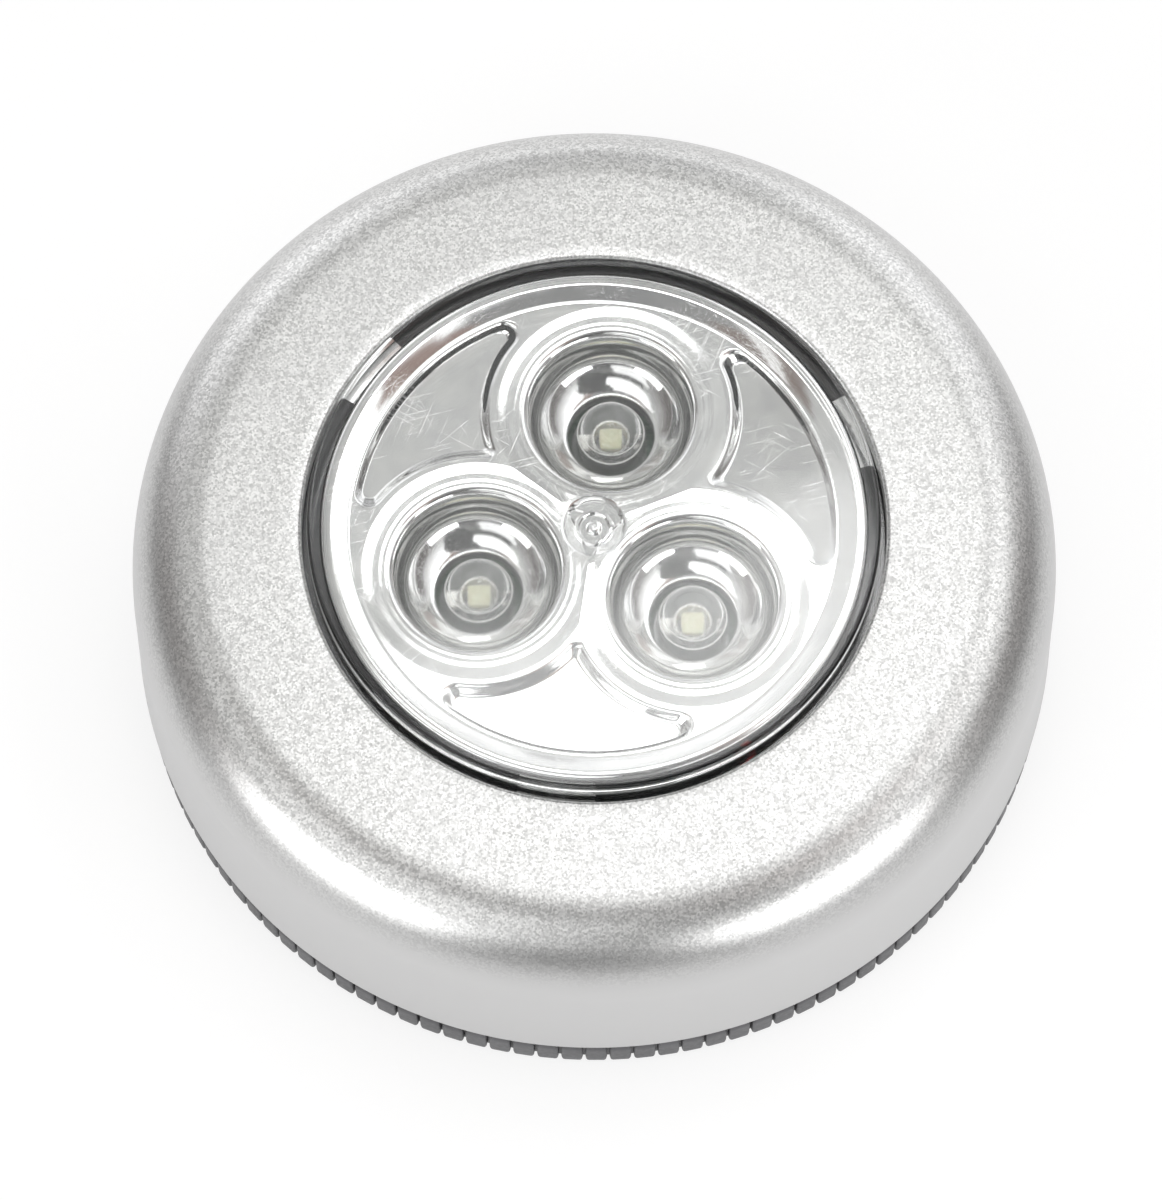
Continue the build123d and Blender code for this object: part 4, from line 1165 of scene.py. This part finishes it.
def make_camera():
    """Camera at the photograph's angle: elevation, distance and roll fitted to the housing's edges."""
    elevation = radians(68.97)
    distance = 0.4
    roll = Quaternion((0, 0, 1), radians(-0.6))
    focal_pixels = 5312
    image_height = 1200
    centre_offset = Vector((-13.1, 28.0, 0))
    target = Vector((0, 0, base_low.z))
    back = Vector((0, -cos(elevation), sin(elevation)))
    position = target + back * distance
    aim = target + (back.to_track_quat("Z", "Y") @ roll) @ centre_offset * (distance / focal_pixels)
    data = bpy.data.cameras.new("camera")
    data.sensor_fit = "VERTICAL"
    data.sensor_height = 36
    data.lens = focal_pixels / image_height * data.sensor_height
    data.clip_start = 0.01
    camera = linked("camera", data)
    camera.location = position
    camera.rotation_mode = "QUATERNION"
    camera.rotation_quaternion = (position - aim).normalized().to_track_quat("Z", "Y") @ roll
    bpy.context.scene.camera = camera
    bpy.context.scene.view_settings.view_transform = "Standard"


def make_floor():
    """Plain white floor that keeps a soft shadow and shows white to the camera and in reflections."""
    grid = bmesh.new()
    bmesh.ops.create_grid(grid, x_segments=2, y_segments=2, size=3.0)
    mesh = bpy.data.meshes.new("floor")
    grid.to_mesh(mesh)
    grid.free()
    made, places = new_material("floor_white")
    rays = add_node(places.tree, "ShaderNodeLightPath")
    reach = vector_math("LENGTH", places)["Value"]
    aside = between(split(places)["Y"] / reach, 0.8, 0.55)
    far = rays["Is Glossy Ray"] * (aside * between(reach, 0.045, 0.16))
    near = rays["Is Glossy Ray"] - far
    seen = extreme("MAXIMUM", [rays["Is Camera Ray"], near * 0.45, rays["Is Transmission Ray"]])
    matt = add_node(places.tree, "ShaderNodeBsdfDiffuse", {"Color": blended(far, 0.9, 0.1)})
    white = add_node(places.tree, "ShaderNodeEmission", {"Color": 1.0, "Strength": 1.08})
    mesh.materials.append(shown(made, mixed_shader(seen * 0.72, matt, white)))
    linked("floor", mesh)


def make_world():
    """White towards the camera, a grey ceiling above, and bright and dark patches for the reflections."""
    world = bpy.data.worlds.new("studio")
    bpy.context.scene.world = world
    world.use_nodes = True
    tree = world.node_tree
    tree.nodes.clear()
    direction = add_node(tree, "ShaderNodeTexCoord")["Generated"]
    parts = split(direction)
    x, y, z = parts["X"], parts["Y"], parts["Z"]
    side = x.math("ABSOLUTE")
    ragged = noise(direction, 14.0, 3.0) * 0.16 - 0.08
    across = x + ragged
    along = y - ragged
    front = blended(between(x, -0.6, 0.7), 0.03, 0.08)
    back = blended(between(side, 0.15, 0.5), (1.35, 1.35, 1.36), (1.5, 1.5, 1.52))
    flank = blended(between(side, 0.6, 0.8), front, (0.10, 0.085, 0.08))
    around = blended(between(y, 0.35, 0.75), flank, back)
    mottle = noise(direction, 30.0, 3.0) * 1.2 + between(x, -0.03, 0.05, -0.5, 0.1)
    plain_ceiling = blended(between(mottle, 0.0, 1.0), (0.60, 0.60, 0.59), (0.34, 0.34, 0.33))
    ceiling = blended(between(x, 0.24, 0.42), plain_ceiling, 1.7)
    colour = blended(between(z, 0.45, 0.7), around, ceiling)
    raised = z * between(y, 0.05, -0.05)
    slanted = noise(direction, 5.0) * 0.3 + across + z * 0.5 - 0.5
    blur = 0.02
    for first, first_low, first_high, second, second_low, second_high, shade in (
        (across, -0.6, 0.6, along, -0.8, -0.4, 0.05),
        (across, -0.5, -0.2, along, -0.4, 0.1, (0.22, 0.17, 0.15)),
        (across, 0.25, 0.5, along, -0.4, 0.1, (0.30, 0.20, 0.17)),
        (across, -0.3, 0.3, along, -0.42, -0.06, 0.26),
        (across, -0.16, 0.34, along, -0.09, 0.17, 1.5),
        (slanted, -0.75, -0.14, raised, 0.40, 0.60, 1.3),
        (slanted, -0.7, 0.08, raised, 0.69, 0.87, 1.5),
        (across, -0.28, 0.28, along, 0.85, 0.98, 0.2),
    ):
        inside = between(z, 0.2, 0.3)
        for value, low, high in ((first, first_low, first_high), (second, second_low, second_high)):
            inside *= between(value, low - blur, low + blur) * between(value, high + blur, high - blur)
        colour = blended(inside, colour, shade)
    lit, plain = (add_node(tree, "ShaderNodeBackground", {"Color": shade}) for shade in (colour, 1.0))
    seen = add_node(tree, "ShaderNodeLightPath")["Is Camera Ray"]
    output = tree.nodes.new("ShaderNodeOutputWorld")
    tree.links.new(mixed_shader(seen, lit, plain).socket, output.inputs[0])


def softbox(name, position, aim_point, width, height, power):
    """Rectangular area light that faces a point."""
    lamp = bpy.data.lights.new(name, "AREA")
    lamp.shape = "RECTANGLE"
    lamp.size = width
    lamp.size_y = height
    lamp.energy = power
    made = linked(name, lamp)
    made.location = position
    made.rotation_euler = (Vector(position) - Vector(aim_point)).to_track_quat("Z", "Y").to_euler()
    made.visible_camera = False
    return made


softbox("left_front", (-0.68, -0.60, 0.26), (0, 0, 0.01), 0.6, 0.4, 4.0)
softbox("right_front", (0.60, -0.66, 0.28), (0, 0, 0.01), 0.62, 0.36, 3.6)
over = softbox("over", (0.028, 0.161, 0.56), (0.028, 0.161, 0), 0.18, 0.1, 0.24)
over.rotation_euler = (0, 0, radians(24.3))
for make in (
    make_camera, make_floor, make_world, make_housing, make_base, make_pad, make_lens, make_reflector, make_leds,
    make_cells, make_springs, make_screws, make_leads,
):
    make()
